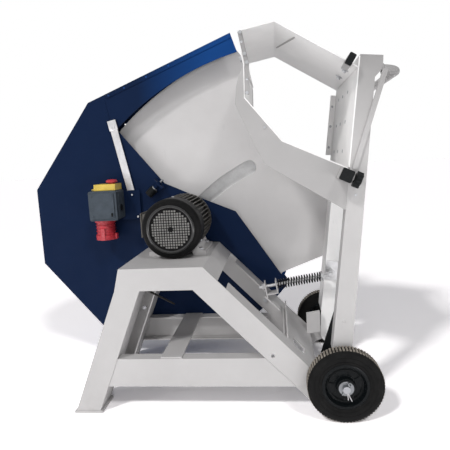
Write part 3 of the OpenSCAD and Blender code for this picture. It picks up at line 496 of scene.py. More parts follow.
# %% Motor enamel
SPINDLE = at(-470.0, 0, 510.0)
FIN_ROOT, FIN_TIP, FEET_FROM, FEET_BELOW = 0.074, 0.084, 0.0884, 0.045
enamel = moulded("motor_enamel", (0.0290, 0.0282, 0.0275), (0.34, 0.50), 0.10, 500.0, 0.26, 0.25)
from_spindle = enamel.around(SPINDLE)
fin_tips = enamel.span(from_spindle, 0.0, 1.0, start=FIN_ROOT, end=FIN_TIP)
dusty = enamel.span(enamel.noise(90.0, detail=5.0), 0.5, 1.0)
enamel.cover(enamel.both(fin_tips, dusty), (0.120, 0.112, 0.100))
outside = enamel.math("GREATER_THAN", from_spindle, FEET_FROM)
below = enamel.math("LESS_THAN", enamel.place("Z"), SPINDLE.z - FEET_BELOW)
enamel.cover(enamel.both(outside, below), PALE)
cover_enamel = moulded("cover_enamel", (0.0046, 0.0046, 0.0048), (0.40, 0.52), 0.03, 260.0, 0.04, 0.10)
ring_enamel = moulded("ring_enamel", (0.0060, 0.0062, 0.0066), (0.10, 0.18), 0.02, 260.0, 0.03, 0.60)
print("enamels:", [e.material.name for e in (enamel, cover_enamel, ring_enamel)])

# %% [markdown]
# ## Tyre rubber
# The tyres are solid black rubber, matt, with pale dust on the tips of their ribs and fine rings on the
# sides from the mould. The rings could be modelled, but they are too shallow to show in the outline. A
# wave texture centred on the wheel draws them as a bump, and a mask by the distance from the axle puts the
# dust on the tips alone.

# %% Tyre rubber
WHEEL_MIDDLE = 0.2725
RIB_FROM, RIB_TIP = 0.0984, 0.0996
RING_COUNT = 90.0


def rubber(name, middle):
    tyre = Finish(name)
    clouds = tyre.noise(30.0, detail=5.0)
    tyre.colour(tyre.ramp(clouds, [(0.30, (0.0060, 0.0060, 0.0062)), (0.75, (0.0112, 0.0110, 0.0108))]))
    tips = tyre.span(tyre.around(AXLE), 0.0, 1.0, start=RIB_FROM, end=RIB_TIP)
    patches = tyre.span(tyre.noise(55.0, detail=6.0, rough=0.7), 0.25, 0.95, start=0.34, end=0.66)
    tyre.cover(tyre.both(tips, patches), (0.400, 0.360, 0.310))
    tyre.roughness(tyre.span(tyre.noise(80.0, detail=4.0), 0.55, 0.80))
    centred = tyre.add("ShaderNodeMapping")
    centred.inputs["Location"].default_value = (-AXLE.x, -middle, -AXLE.z)
    tyre.link(tyre.space, centred.inputs["Vector"])
    rings = tyre.add("ShaderNodeTexWave", wave_type="RINGS", rings_direction="Y")
    rings.inputs["Scale"].default_value = RING_COUNT
    tyre.link(centred.outputs["Vector"], rings.inputs["Vector"])
    tyre.bump(rings.outputs["Fac"], 0.10, 0.0006)
    tyre.bump(tyre.noise(700.0), 0.20, 0.0004)
    tyre.put("Specular IOR Level", 0.10)
    return tyre


near_rubber = rubber("near_rubber", -WHEEL_MIDDLE)
far_rubber = rubber("far_rubber", WHEEL_MIDDLE)
print("rubber for two tyres")

# %% [markdown]
# ## Finishes onto the CAD nodes
# Every CAD node is a real part with one finish: sheet is coated, bolts are plated, grips are moulded.
# Materials could be picked node by node in the editor. A table from finish to nodes shows at a glance
# which parts match, and the last line tells if a node was forgotten.

# %% Finishes
FINISHES = {
    stand_coat: ["top_plate", "left_legs", "right_legs", "bottom_rails", "cross_ties", "frame_plates"],
    pale_coat: ["near_post", "side_straps", "push_handle", "support_tubes", "spring_bracket"],
    # front coat is painted shade; guard and tunnel coats are painted light
    shaded_front_coat: ["v_plate"],
    lit_guard_coat: ["guard_near_plate", "guard_far_plate", "guard_rim"],
    lit_tunnel_coat: ["trough_floor", "right_wall", "top_arm", "far_post"],
    zinc: ["brace_strap", "spring_clevis", "extension_bar", "spring_rod"],
    bolt_zinc: ["frame_bolts", "cradle_bolts", "motor_bolts", "guard_spacers", "pivot_bushes"],
    navy: ["hood_near_plate", "switch_bracket", "plunger_bracket"],
    inner_blue: ["hood_far_plate", "hood_rim"],
    enamel: ["motor_body", "end_shield", "terminal_box"],
    cover_enamel: ["fan_cover"],
    turned_steel: ["motor_shaft", "blade_flanges", "motor_bearings", "lock_pin"],
    axle_steel: ["axle"],
    blade_steel: ["saw_blade"],
    black_plastic: ["tube_plugs", "bar_cap", "star_knob", "lock_knob"],
    hub_plastic: ["near_hub", "far_hub"],
    box_plastic: ["switch_box"],
    pale_plastic: ["cooling_fan"],
    yellow_plastic: ["switch_flap"],
    red_plastic: ["stop_button", "off_button", "power_inlet"],
    green_plastic: ["start_button"],
    brass: ["inlet_pins"],
    near_rubber: ["near_tyre"],
    far_rubber: ["far_tyre"],
    wire_steel: ["return_spring"],
}
for finish, names in FINISHES.items():
    for name in names:
        slots = nodes[name].data.materials
        slots.clear()
        slots.append(finish.material)
dressed = {name for names in FINISHES.values() for name in names}
print("nodes without a finish:", sorted(set(nodes) - dressed))

# %% [markdown]
# ## Broken edges
# No edge of bent sheet or moulded plastic is razor sharp, and its small round catches a line of light. The
# rounds could be modelled, but the CAD meshes have to stay as they are. Modifiers leave them untouched:
# one joins the loose triangles, one dissolves the lines inside flat faces, and a bevel breaks the corners
# that are left.

# %% Broken edges
SHEET_EDGE, SMALL_EDGE = 0.0010, 0.0006
BEVELS = {
    SHEET_EDGE: ["top_plate", "left_legs", "right_legs", "bottom_rails", "near_post", "far_post", "v_plate",
                 "trough_floor", "right_wall", "top_arm", "support_tubes", "switch_bracket"],
    SMALL_EDGE: ["side_straps", "frame_plates", "brace_strap", "spring_bracket", "cross_ties", "tube_plugs",
                 "bar_cap", "star_knob", "switch_box", "switch_flap", "stop_button", "power_inlet",
                 "near_hub", "far_hub", "terminal_box", "extension_bar", "lock_knob", "spring_clevis"],
}


def break_edges(node, width):
    joined = node.modifiers.new("join", "WELD")
    joined.merge_threshold = 0.00002
    flat = node.modifiers.new("flat", "DECIMATE")
    flat.decimate_type = "DISSOLVE"
    flat.angle_limit = math.radians(0.6)
    edge = node.modifiers.new("edge", "BEVEL")
    edge.width = width
    edge.segments = 2
    edge.limit_method = "ANGLE"
    edge.angle_limit = math.radians(40)
    edge.use_clamp_overlap = True
    edge.harden_normals = False


for width, names in BEVELS.items():
    for name in names:
        break_edges(nodes[name], width)
print("nodes with broken edges:", sum(len(names) for names in BEVELS.values()))

# %% [markdown]
# ## Mesh tools
# The trim of this saw is bent from wire, turned, pressed or cut from flat stock. Single objects with
# modifiers would do for a few of them, but dozens of rivets and beads are lighter as one mesh for each
# kind. So each way of making has a function that works in a bmesh, with the operator that is most like the
# real process. They all need a direction with two more across it, a matrix that lays a flat shape there,
# and a cap for open ends.

# %% Directions and ends


def frame_of(way):
    """A direction, and two more across it."""
    way = way.normalized()
    across = way.orthogonal().normalized()
    return way, across, way.cross(across)


def placed(origin, first, second):
    """The matrix that lays a flat shape at origin, its X along first and its Y along second."""
    matrix = Matrix((first, second, first.cross(second))).transposed().to_4x4()
    matrix.translation = origin
    return matrix


def rim_of(verts):
    return list({edge for vert in verts for edge in vert.link_edges})


def close_ends(bm):
    bmesh.ops.holes_fill(bm, edges=[edge for edge in bm.edges if edge.is_boundary], sides=0)


print("across up:", [round(c, 2) for c in frame_of(UP)[1]])

# %% [markdown]
# ### Wire
# A bent rod, a rib or a split pin is a round wire. A curve object with a bevel could make it, but it would
# have to be turned into a mesh before it can share one with others. Here a circle is extruded from point
# to point and scaled on the way, so that a wire can also grow thin towards its end.

# %% Wire


def wire(bm, path, radii, sides=12):
    """A round wire along a path, with a radius for each point."""
    _, across, other = frame_of(path[1] - path[0])
    ring = bmesh.ops.create_circle(bm, cap_ends=False, radius=radii[0], segments=sides,
                                   matrix=placed(path[0], across, other))["verts"]
    edges = rim_of(ring)
    for start, end, before, after in zip(path, path[1:], radii, radii[1:]):
        grown = bmesh.ops.extrude_edge_only(bm, edges=edges)["geom"]
        ring = {item for item in grown if isinstance(item, bmesh.types.BMVert)}
        edges = [item for item in grown if isinstance(item, bmesh.types.BMEdge) and set(item.verts) <= ring]
        bmesh.ops.translate(bm, verts=list(ring), vec=end - start)
        bmesh.ops.scale(bm, verts=list(ring), vec=(after / before,) * 3, space=Matrix.Translation(-end))
    close_ends(bm)


print("wire can be drawn")

# %% [markdown]
# ### Turned work
# Screws, bosses and rings are turned or rolled, so they are round about one line. A cylinder with loop
# cuts could be pushed into shape. Spin is nearer to the lathe: half a profile, or a small circle for a
# ring, goes once round the line. Points on the line itself fall together, so doubles are merged
# afterwards.

# %% Turned work
SAME_POINT = 1e-6
FULL_TURN = 2 * math.pi


def turn(bm, origin, way, profile, sides=24):
    """A turned shape: a line of (radius, height) points, spun once round way."""
    first = len(bm.verts)
    way, across, _ = frame_of(way)
    line = [bm.verts.new(origin + across * radius + way * height) for radius, height in profile]
    edges = [bm.edges.new(pair) for pair in zip(line, line[1:])]
    bmesh.ops.spin(bm, geom=line + edges, cent=origin, axis=way, angle=FULL_TURN, steps=sides,
                   use_merge=True)
    bmesh.ops.remove_doubles(bm, verts=list(bm.verts)[first:], dist=SAME_POINT)


def hoop(bm, centre, way, reach, tube, sides=64, tube_sides=8):
    """A ring of round wire: a small circle, spun once round way."""
    first = len(bm.verts)
    way, across, _ = frame_of(way)
    ring = bmesh.ops.create_circle(bm, cap_ends=False, radius=tube, segments=tube_sides,
                                   matrix=placed(centre + across * reach, across, way))["verts"]
    bmesh.ops.spin(bm, geom=list(ring) + rim_of(ring), cent=centre, axis=way, angle=FULL_TURN, steps=sides,
                   use_merge=True)
    bmesh.ops.remove_doubles(bm, verts=list(bm.verts)[first:], dist=SAME_POINT)


print("turned work can be spun")

# %% [markdown]
# ### Rivets and bolts
# Rivets have a low dome, and bolts a six-sided head on a washer. A head could be cut from a cylinder with
# six sides and bevelled. It is simpler to turn it like the rivet: a spin in only six steps makes a
# hexagon, and the last point of its profile gives the chamfer. Both start a little inside the sheet, so no
# gap shows below them.

# %% Rivets and bolts
DOME_STEPS, RIVET_SIDES, HEX_STEPS = 4, 14, 6
RIVET_SUNK, BOLT_SUNK, WASHER = 0.0005, 0.0003, 0.0015


def rivet(bm, origin, way, radius, height):
    """A low dome, turned like the heads of bolts."""
    angles = [math.pi / 2 * i / DOME_STEPS for i in range(DOME_STEPS)]
    dome = [(radius * math.cos(a), height * math.sin(a)) for a in angles]
    turn(bm, origin, way, [(0.0, -RIVET_SUNK), (radius, -RIVET_SUNK)] + dome + [(0.0, height)], RIVET_SIDES)


def bolt(bm, origin, way, flats, height):
    """A washer, and on it a head that is flats wide."""
    outer = flats * 0.98
    turn(bm, origin, way, [(0.0, -BOLT_SUNK), (outer, -BOLT_SUNK), (outer, 0.0010), (outer - 0.0005, WASHER),
                           (0.0, WASHER)])
    corner = flats / math.sqrt(3)
    head = [(0.0, -BOLT_SUNK), (corner, -BOLT_SUNK), (corner, height * 0.78), (corner * 0.88, height),
            (0.0, height)]
    turn(bm, origin + way.normalized() * WASHER, way, head, HEX_STEPS)


print("rivets have", RIVET_SIDES, "sides")

# %% [markdown]
# ### Weld beads
# Rails, straps and handle are welded on, and a weld is a line of small frozen drops. A bump on a smooth
# rod would keep a straight outline. A wire whose thickness ripples from point to point has the real
# outline, and a slow sine in it keeps the drops from being all alike without any random draw.

# %% Weld beads
DROP_LENGTH = 0.0024


def bead(bm, start, end, radius):
    """A weld bead: a wire whose thickness ripples along the seam."""
    count = max(6, int((end - start).length / DROP_LENGTH) * 2)
    path = [start.lerp(end, i / count) for i in range(count + 1)]
    radii = [radius * (0.86 + 0.16 * (i % 2) + 0.05 * math.sin(i * 1.7)) for i in range(count + 1)]
    radii[0] = radii[-1] = radius * 0.4
    wire(bm, path, radii, sides=8)


print("beads can be welded")

# %% [markdown]
# ### Blocks
# Lips, clips and moulded lines are flat strips with slightly broken edges. A plain cube would look cut
# from paper, and a bevel modifier would also bevel the shapes beside it in the same mesh. So a cube is
# scaled and laid along three directions, and the bevel operator rounds only its own edges.

# %% Blocks


def block(bm, origin, ways, size, bevel, segments=2):
    """A block with broken edges: its middle, its three directions and its three lengths."""
    made = bmesh.ops.create_cube(bm, size=1.0)["verts"]
    turn_to = Matrix(ways).transposed()
    for vert in made:
        vert.co = origin + turn_to @ Vector((vert.co.x * size[0], vert.co.y * size[1], vert.co.z * size[2]))
    bmesh.ops.bevel(bm, geom=rim_of(made), offset=bevel, offset_type="OFFSET", affect="EDGES",
                    segments=segments, profile=0.5, material=-1)


print("blocks can be cut")

# %% [markdown]
# ### From mesh to piece
# A finished mesh becomes an object, gets its finish and is tied to the body that carries it on the real
# saw. Normals are recalculated first, because spin can turn a shape inside out, and edges sharper than an
# angle stay sharp.

# %% From mesh to piece


def piece(name, bm, finish, body, smooth=35):
    """Turns a finished mesh into an object that rides on a CAD body."""
    bmesh.ops.recalc_face_normals(bm, faces=bm.faces)
    mesh = bpy.data.meshes.new(name)
    bm.to_mesh(mesh)
    bm.free()
    for polygon in mesh.polygons:
        polygon.use_smooth = True
    made = bpy.data.objects.new(name, mesh)
    scene.collection.objects.link(made)
    mesh.materials.append(finish.material)
    mesh.set_sharp_from_angle(angle=math.radians(smooth))
    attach(made, body)
    print(name, "rides on", body, "faces:", len(mesh.polygons))
    return made


# %% [markdown]
# ## Return spring
# The spring on its rod pushes the cradle back from the blade. It is one round wire, wound on, with its two
# end curls closer together. A Screw modifier could wind it, but with one pitch only. The spin operator also
# moves its shape along while it turns, so three spins, each from the end of the one before, give three
# stretches of one wire. The coil takes the place of the CAD spring, which is hidden, and it rides on the
# spring link with a mesh of its own.

# %% Return spring
ROD_FALL = math.radians(9.3)
PER_CURL, MIDDLE_CURLS = 24, 15
COIL_START, COIL_LENGTH, END_PITCH = 0.0345, 0.1405, 0.0065
COIL_RADIUS, WIRE_RADIUS, WIRE_SIDES = 0.0142, 0.0018, 10
pin = cradle_at(-20, 35, 219)
rod = Vector((-math.cos(ROD_FALL), 0, -math.sin(ROD_FALL)))
start = pin + rod * COIL_START
middle_pitch = (COIL_LENGTH - 2 * END_PITCH) / MIDDLE_CURLS
bm = bmesh.new()
ring = bmesh.ops.create_circle(bm, cap_ends=False, radius=WIRE_RADIUS, segments=WIRE_SIDES,
                               matrix=placed(start + FAR * COIL_RADIUS, FAR, rod))["verts"]
section = list(ring) + rim_of(ring)
for curls, pitch in ((1, END_PITCH), (MIDDLE_CURLS, middle_pitch), (1, END_PITCH)):
    section = bmesh.ops.spin(bm, geom=section, cent=start, axis=-rod, dvec=rod * (pitch / PER_CURL),
                             angle=FULL_TURN * curls, steps=curls * PER_CURL)["geom_last"]
close_ends(bm)
coil = piece("return_coil", bm, wire_steel, "spring_link", 60)
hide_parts("return_spring")
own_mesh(coil)

# %% [markdown]
# ## Hood lip
# The hood's near plate has a folded lip along its upper edge, and a short seam below the upper corner. The
# fold could be cut into the plate, but a CAD node's mesh stays as it is. Two thin blocks lie on the plate
# instead, and their broken edges catch the light as a fold does. The edge's direction comes from its two
# ends.

# %% Hood lip
FAR_FACE = 141.0
TIP, CORNER = (-293.0, 1111.7), (-794.8, 920.1)
LIP_SIZE, SEAM_SIZE = (0.466, 0.0020, 0.015), (0.076, 0.0014, 0.004)
edge_run = Vector((CORNER[0] - TIP[0], 0, CORNER[1] - TIP[1])).normalized()
edge_in = Vector((-edge_run.z, 0, edge_run.x))


def along_edge(x, y, inside):
    """A place on the hood's upper edge, moved into the plate by a distance."""
    share = (x - TIP[0]) / (CORNER[0] - TIP[0])
    z = TIP[1] + share * (CORNER[1] - TIP[1])
    return at(x + edge_in.x * inside, y, z + edge_in.z * inside)


bm = bmesh.new()
block(bm, along_edge(-514.0, FAR_FACE - 0.9, 8.0), (edge_run, FAR, edge_in), LIP_SIZE, 0.0006)
seam_run, seam_across = Vector((14, 0, -75)).normalized(), Vector((75, 0, 14)).normalized()
block(bm, at(-729, FAR_FACE - 0.5, 889), (seam_run, FAR, seam_across), SEAM_SIZE, 0.0004)
piece("hood_lip", bm, navy, "base")

# %% [markdown]
# ## Hood rivets
# Painted rivets hold the hood's plates to its rim, near the upper edge. They could be set by an array
# along the edge, but on the near plate they are not evenly spaced. So their places are listed along the
# edge, and the function from the last cell finds their height.

# %% Hood rivets
NEAR_RIVETS, FAR_RIVETS = (-303, -363, -433, -507, -586, -665, -722), (-430, -560, -690)
HOOD_END, FROM_EDGE = 305.0, 9.0
RIVET_RADIUS, RIVET_HEIGHT = 0.0036, 0.0016
bm = bmesh.new()
for x in NEAR_RIVETS:
    rivet(bm, along_edge(x, FAR_FACE - 1.9, FROM_EDGE), NEAR, RIVET_RADIUS, RIVET_HEIGHT)
for x in FAR_RIVETS:
    rivet(bm, along_edge(x, HOOD_END, FROM_EDGE), FAR, RIVET_RADIUS, RIVET_HEIGHT)
piece("hood_rivets", bm, inner_blue, "base")

# %% [markdown]
# ## Strap clip
# A plated strap runs from the hood to the switch, and its upper end is folded over. Bending a plate with a
# deform modifier would be much work for a fold of 30 mm. Two blocks along the strap's own direction, one
# flat on it and one across its end, look the same from every side.

# %% Strap clip
CLIP_EDGE = 0.0007
strap_fall = Vector((61, 0, -300)).normalized()
clip_ways = (strap_fall, FAR, strap_fall.cross(FAR))
bm = bmesh.new()
block(bm, at(-710.5, FAR_FACE - 10.2, 838), clip_ways, (0.034, 0.0026, 0.030), CLIP_EDGE)
block(bm, at(-714, FAR_FACE - 5.2, 854), clip_ways, (0.0026, 0.0105, 0.030), CLIP_EDGE)
piece("strap_clip", bm, zinc, "base")

# %% [markdown]
# ## Cradle fasteners
# Two bolts with nuts hold the folded arm near the wall, rivets close the lip behind the log tunnel, and
# two more sit on the left strap. Each could be an object of its own, but they never move against each
# other. One mesh in the cradle's leaning frame carries them all, and rides with the cradle.

# %% Cradle fasteners
NEAR_Y = -235.0
ARM_BOLTS_Y, LIP_RIVETS_V, STRAP_RIVETS = (-142, -28), (623, 693, 758), ((-330, 862), (-310, 772))
BOLT_FLATS = 0.011
under_arm = cradle_way(-0.427, -0.904)
bm = bmesh.new()
for y in ARM_BOLTS_Y:
    bolt(bm, cradle_at(-58, y, 820.8), under_arm, BOLT_FLATS, 0.006)
    bolt(bm, cradle_at(-56.7, y, 823.8), -under_arm, BOLT_FLATS, 0.005)
for v in LIP_RIVETS_V:
    rivet(bm, cradle_at(-47.5, 190, v), NEAR, 0.0042, 0.0018)
for u, v in STRAP_RIVETS:
    rivet(bm, cradle_at(u, NEAR_Y - 3, v), NEAR, RIVET_RADIUS, 0.0018)
piece("cradle_fasteners", bm, bolt_zinc, "cradle")

# %% [markdown]
# ## Holes in wall and post
# Nine holes are punched in the cradle's right wall, and bare metal shows at their edges. The holes are in
# the CAD node, and a paint mask for nine places would be long. A thin ring round each hole is short, and
# two loops place them in rows and columns. A flat plug closes the small hole low on the near post.

# %% Wall holes
WALL_FACE_U, TROUGH_V, WALL_HEIGHT = -38.0, 563.0, 280.0
HOLE_ROWS, HOLE_COLUMNS_Y = (0.16, 0.45, 0.74), (-92, 10, 100)
HOLE_RADIUS, BURR_RADIUS = 0.0046, 0.0008
bm = bmesh.new()
for share in HOLE_ROWS:
    for y in HOLE_COLUMNS_Y:
        hole = cradle_at(WALL_FACE_U, y, TROUGH_V + share * WALL_HEIGHT)
        hoop(bm, hole, cradle_way(1, 0), HOLE_RADIUS, BURR_RADIUS, sides=24, tube_sides=6)
piece("wall_hole_edges", bm, bolt_zinc, "cradle", 50)

# %% Post plug
PLUG_RADIUS, PLUG_HEIGHT = 0.0058, 0.0012
bm = bmesh.new()
rivet(bm, cradle_at(-12, NEAR_Y, 160), NEAR, PLUG_RADIUS, PLUG_HEIGHT)
piece("post_plug", bm, pale_coat, "cradle")

# %% [markdown]
# ## Rib under the arm
# A shallow rib crosses the underside of the top arm. It is pressed into the sheet, which a displacement
# could show, but the arm's faces are large and flat and would need many cuts. A wire that is half sunk in
# the sheet, thin at both ends, has the same rounded shadow.

# %% Arm rib
RIB_STEPS, RIB_RADIUS, RIB_END = 12, 0.0024, 0.0010
rib_lift = under_arm * 0.0013
rib_ends = (cradle_at(-246, 44, 911.2), cradle_at(-197, -199, 886.2))
bm = bmesh.new()
path = [rib_ends[0].lerp(rib_ends[1], i / RIB_STEPS) + rib_lift for i in range(RIB_STEPS + 1)]
wire(bm, path, [RIB_END] + [RIB_RADIUS] * (RIB_STEPS - 1) + [RIB_END], sides=10)
# the rib takes the darker front coat: a line of painted shade on the lighter arm
piece("arm_rib", bm, shaded_front_coat, "cradle")

# %% [markdown]
# ## Black wedge on the post
# A thin black wedge sits low on the near post. Its outline is all there is to it. A cube could be sheared
# into shape. One face with four corners that is extruded and bevelled is closer to cutting it out.

# %% Black wedge
WEDGE_CORNERS = ((-12, 284), (-54, 154), (-20, 154), (-15, 270))
WEDGE_Y, WEDGE_THICK, WEDGE_EDGE = -192.0, 0.0045, 0.0008
bm = bmesh.new()
outline = bm.faces.new([bm.verts.new(at(x, WEDGE_Y, z)) for x, z in WEDGE_CORNERS])
grown = bmesh.ops.extrude_face_region(bm, geom=[outline])["geom"]
moved = [item for item in grown if isinstance(item, bmesh.types.BMVert)]
bmesh.ops.translate(bm, verts=moved, vec=FAR * WEDGE_THICK)
bmesh.ops.bevel(bm, geom=list(bm.edges), offset=WEDGE_EDGE, offset_type="OFFSET", affect="EDGES",
                segments=2, profile=0.5, material=-1)
piece("post_black_wedge", bm, black_plastic, "cradle")

# %% [markdown]
# ## Welds of the cradle
# The push handle is welded to both posts all round, and a seam runs along the near edge of the trough. A
# weld round a tube could be a rippled wire too, but it is small and painted over. A plain ring does for
# the tube, and the long seam gets the rippled bead.

# %% Cradle welds
HANDLE_ENDS_Y, SEAM_Y = (-224, 182), NEAR_Y + 3.6
HANDLE_RADIUS, RING_WELD, SEAM_WELD = 0.0116, 0.0020, 0.0018
bm = bmesh.new()
for y in HANDLE_ENDS_Y:
    hoop(bm, cradle_at(22.6, y, 812), cradle_way(1, 0), HANDLE_RADIUS, RING_WELD, sides=40)
bead(bm, cradle_at(-211, SEAM_Y, 621), cradle_at(-42, SEAM_Y, 562.4), SEAM_WELD)
piece("cradle_welds", bm, pale_coat, "cradle", 60)

# %% [markdown]
# ## Welds and rod of the stand
# The bottom rails meet the legs in sloping weld seams on both faces of the stand, and a thin bent rod
# hangs under the front fold of its table. The seams are beads between two points, placed on the near and
# the far face by a loop. The rod is a wire through a few points: only its ends bend, so more points would
# add nothing.

# %% Stand welds
NEAR_FACE, BEAD_LIFT, RAIL_LOW, RAIL_HIGH = -245.0, 0.3, 80, 160
RAIL_WELD = 0.0016
bm = bmesh.new()
for y in (NEAR_FACE - BEAD_LIFT, FAR_FACE + BEAD_LIFT):
    for low_x, high_x in ((-658.3, -625.1), (-128.0, -207.2)):
        bead(bm, at(low_x, y, RAIL_LOW), at(high_x, y, RAIL_HIGH), RAIL_WELD)
piece("stand_welds", bm, stand_coat, "base", 60)

# %% Rod under the table
ROD_POINTS = ((-522, -239.2, 357), (-514, -238.2, 352), (-498, -238, 343), (-474, -238, 330),
              (-456, -238, 320), (-450, -238, 316.5))
bm = bmesh.new()
wire(bm, [at(*point) for point in ROD_POINTS], [0.0026, 0.0028, 0.0028, 0.0028, 0.0028, 0.0018])
piece("beam_rod", bm, wire_steel, "base", 50)

# %% [markdown]
# ## Switch box trim
# The switch box is moulded in two halves. A line runs along its front above and below, another down its
# side, and a screw with a sunk middle sits in each corner. A boolean could cut the lines, but the CAD mesh
# stays as it is, so thin raised strips stand for the joint, and each screw is one turned profile.

# %% Switch box trim
STRIP_EDGE, SCREW_SIDES = 0.0007, 18
FRONT_STRIPS = ((612.5, (0.088, 0.0024, 0.004)), (527.0, (0.088, 0.0024, 0.005)))
SCREW = [(0.0, -0.0003), (0.0040, -0.0003), (0.0040, 0.0007), (0.0034, 0.0012), (0.0012, 0.0012),
         (0.0010, 0.0004), (0.0, 0.0004)]
bm = bmesh.new()
for z, size in FRONT_STRIPS:
    block(bm, at(-738, 44.2, z), SQUARE, size, STRIP_EDGE)
block(bm, at(-689.6, 70, 570), SQUARE, (0.0018, 0.0030, 0.086), 0.0006)
for x, z in ((-773, 604), (-703, 604), (-773, 536), (-703, 536)):
    turn(bm, at(x, 41, z), NEAR, SCREW, SCREW_SIDES)
piece("switch_box_trim", bm, box_plastic, "base")

# %% [markdown]
# ## Boss and bracket bolts
# The right side of the box has a round blank boss for a cable, with a small latch on the front, and two
# plated caps show on the bracket beside it. The boss could be two cylinders, but a turned profile also
# gives its sunk middle. The caps are rivets on the bracket's face.

# %% Boss of the box
BOSS = [(0.0, -0.0004), (0.0115, -0.0004), (0.0115, 0.0020), (0.0105, 0.0026), (0.0088, 0.0026),
        (0.0082, 0.0010), (0.0, 0.0010)]
bm = bmesh.new()
turn(bm, at(-690.2, 92, 560), RIGHT, BOSS, 32)
block(bm, at(-706, 39.6, 540), SQUARE, (0.006, 0.0030, 0.012), 0.0008)
piece("switch_box_boss", bm, black_plastic, "base")

# %% Bracket bolts
BRACKET_Y = 125.0
bm = bmesh.new()
for x, z in ((-660, 598), (-644, 522)):
    rivet(bm, at(x, BRACKET_Y, z), NEAR, 0.0037, 0.0015)
piece("bracket_bolt_caps", bm, zinc, "base")

# %% [markdown]
# ## Inlet and flap trim
# The red power inlet has raised rings for the grip and the hinge of its lid, and the yellow flap ends in a
# thin edge on three sides. Grip rings could be a bump, but they show in the outline. So each is a ring of
# thin wire, and the hinge and the edges are blocks. The edges ride on the flap and swing with it.

# %% Inlet rings
INLET_X, INLET_Y, INLET_RINGS_Z = -750, 92, (503, 492, 481, 470)
INLET_RADIUS, INLET_RING = 0.0326, 0.0011
bm = bmesh.new()
for z in INLET_RINGS_Z:
    hoop(bm, at(INLET_X, INLET_Y, z), UP, INLET_RADIUS, INLET_RING, sides=48)
block(bm, at(-715, INLET_Y, 462), SQUARE, (0.008, 0.018, 0.020), 0.0016)
piece("inlet_rings", bm, red_plastic, "base", 50)

# %% Flap edge
FLAP_Z, FLAP_EDGE = 622.4, 0.0005
bm = bmesh.new()
for y in (58.4, 125.6):
    block(bm, at(-732, y, FLAP_Z), SQUARE, (0.075, 0.0014, 0.0035), FLAP_EDGE)
block(bm, at(-694.4, 92, FLAP_Z), SQUARE, (0.0014, 0.066, 0.0035), FLAP_EDGE)
piece("flap_edge", bm, yellow_plastic, "flap")

# %% [markdown]
# ## Fan cover trim
# The fan cover is pressed sheet, rolled over at the front into a glossy ring round its mesh, with a small
# boss and a screw in the middle. The roll could be a wide bevel on the cover, which would also round every
# hole of the mesh. A ring of its own lies on the edge instead, and it can have its own gloss.

# %% Cover ring
COVER_FRONT, ROLL_REACH, ROLL_RADIUS = 0.1428, 0.0665, 0.0052
bm = bmesh.new()
hoop(bm, SPINDLE + NEAR * COVER_FRONT, NEAR, ROLL_REACH, ROLL_RADIUS, sides=96, tube_sides=14)
piece("cover_ring", bm, ring_enamel, "base", 60)

# %% Boss and screw of the mesh
MESH_FRONT, SCREW_FRONT = 0.1430, 0.1434
MESH_BOSS = [(0.0, -0.0006), (0.0074, -0.0006), (0.0074, 0.0006), (0.0066, 0.0011), (0.0034, 0.0011),
             (0.0030, 0.0006), (0.0, 0.0006)]
bm = bmesh.new()
turn(bm, SPINDLE + NEAR * MESH_FRONT, NEAR, MESH_BOSS, 28)
piece("mesh_boss", bm, cover_enamel, "base")
bm = bmesh.new()
rivet(bm, SPINDLE + NEAR * SCREW_FRONT, NEAR, 0.0028, 0.0012)
piece("mesh_screw", bm, zinc, "base")

# %% [markdown]
# ## Terminal box trim
# On the left side of the motor sits its terminal box, with four lid screws and a cable gland below. They
# are hardly seen from the front. A threaded gland could be wound like the spring, but nobody would see it,
# so they stay simple: domes for the screws, and one turned profile with steps for the gland.

# %% Terminal trim
LID_SCREWS = ((-24, 30), (54, 30), (-24, -30), (54, -30))
GLAND = [(0.0, -0.001), (0.0130, -0.001), (0.0130, 0.006), (0.0110, 0.007), (0.0110, 0.014), (0.0085, 0.016),
         (0.0, 0.016)]
bm = bmesh.new()
for y, z in LID_SCREWS:
    rivet(bm, SPINDLE + Vector((-0.120, y / 1000, z / 1000)), -RIGHT, 0.0042, 0.0016)
turn(bm, SPINDLE + Vector((-0.104, 0.015, -0.036)), -UP, GLAND, 24)
piece("terminal_trim", bm, enamel, "base")

# %% [markdown]
# ## Blade tips
# Every tooth of the blade carries a small hard tip, brazed on and a little wider than the blade. An array
# modifier round an empty could repeat one tip, but the export removes helper objects. Here a loop over
# the teeth turns a block by the tooth's angle, and all tips ride on the rotor and spin with the blade.

# %% Blade tips
TEETH, BLADE_Y, TIP_REACH, TIP_SHIFT = 42, 0.227, 0.3472, 0.0014
TIP_SIZE, TIP_EDGE = (0.0070, 0.0048, 0.0030), 0.0004
bm = bmesh.new()
for i in range(TEETH):
    angle = FULL_TURN * i / TEETH
    out = Vector((math.cos(angle), 0, math.sin(angle)))
    side = Vector((-math.sin(angle), 0, math.cos(angle)))
    middle = SPINDLE + FAR * BLADE_Y + out * TIP_REACH + side * TIP_SHIFT
    block(bm, middle, (out, FAR, side), TIP_SIZE, TIP_EDGE, segments=1)
piece("blade_tips", bm, carbide, "rotor")

# %% [markdown]
# ## Lock plunger
# The lock plunger above the motor has a black grip with rings and a bright collar behind it. It slides
# along its own slanted line. The rings could be cut in by a boolean, but rings of thin wire along that
# line are lighter and also show in the outline. Grip and collar ride on the plunger, so they slide with
# it.

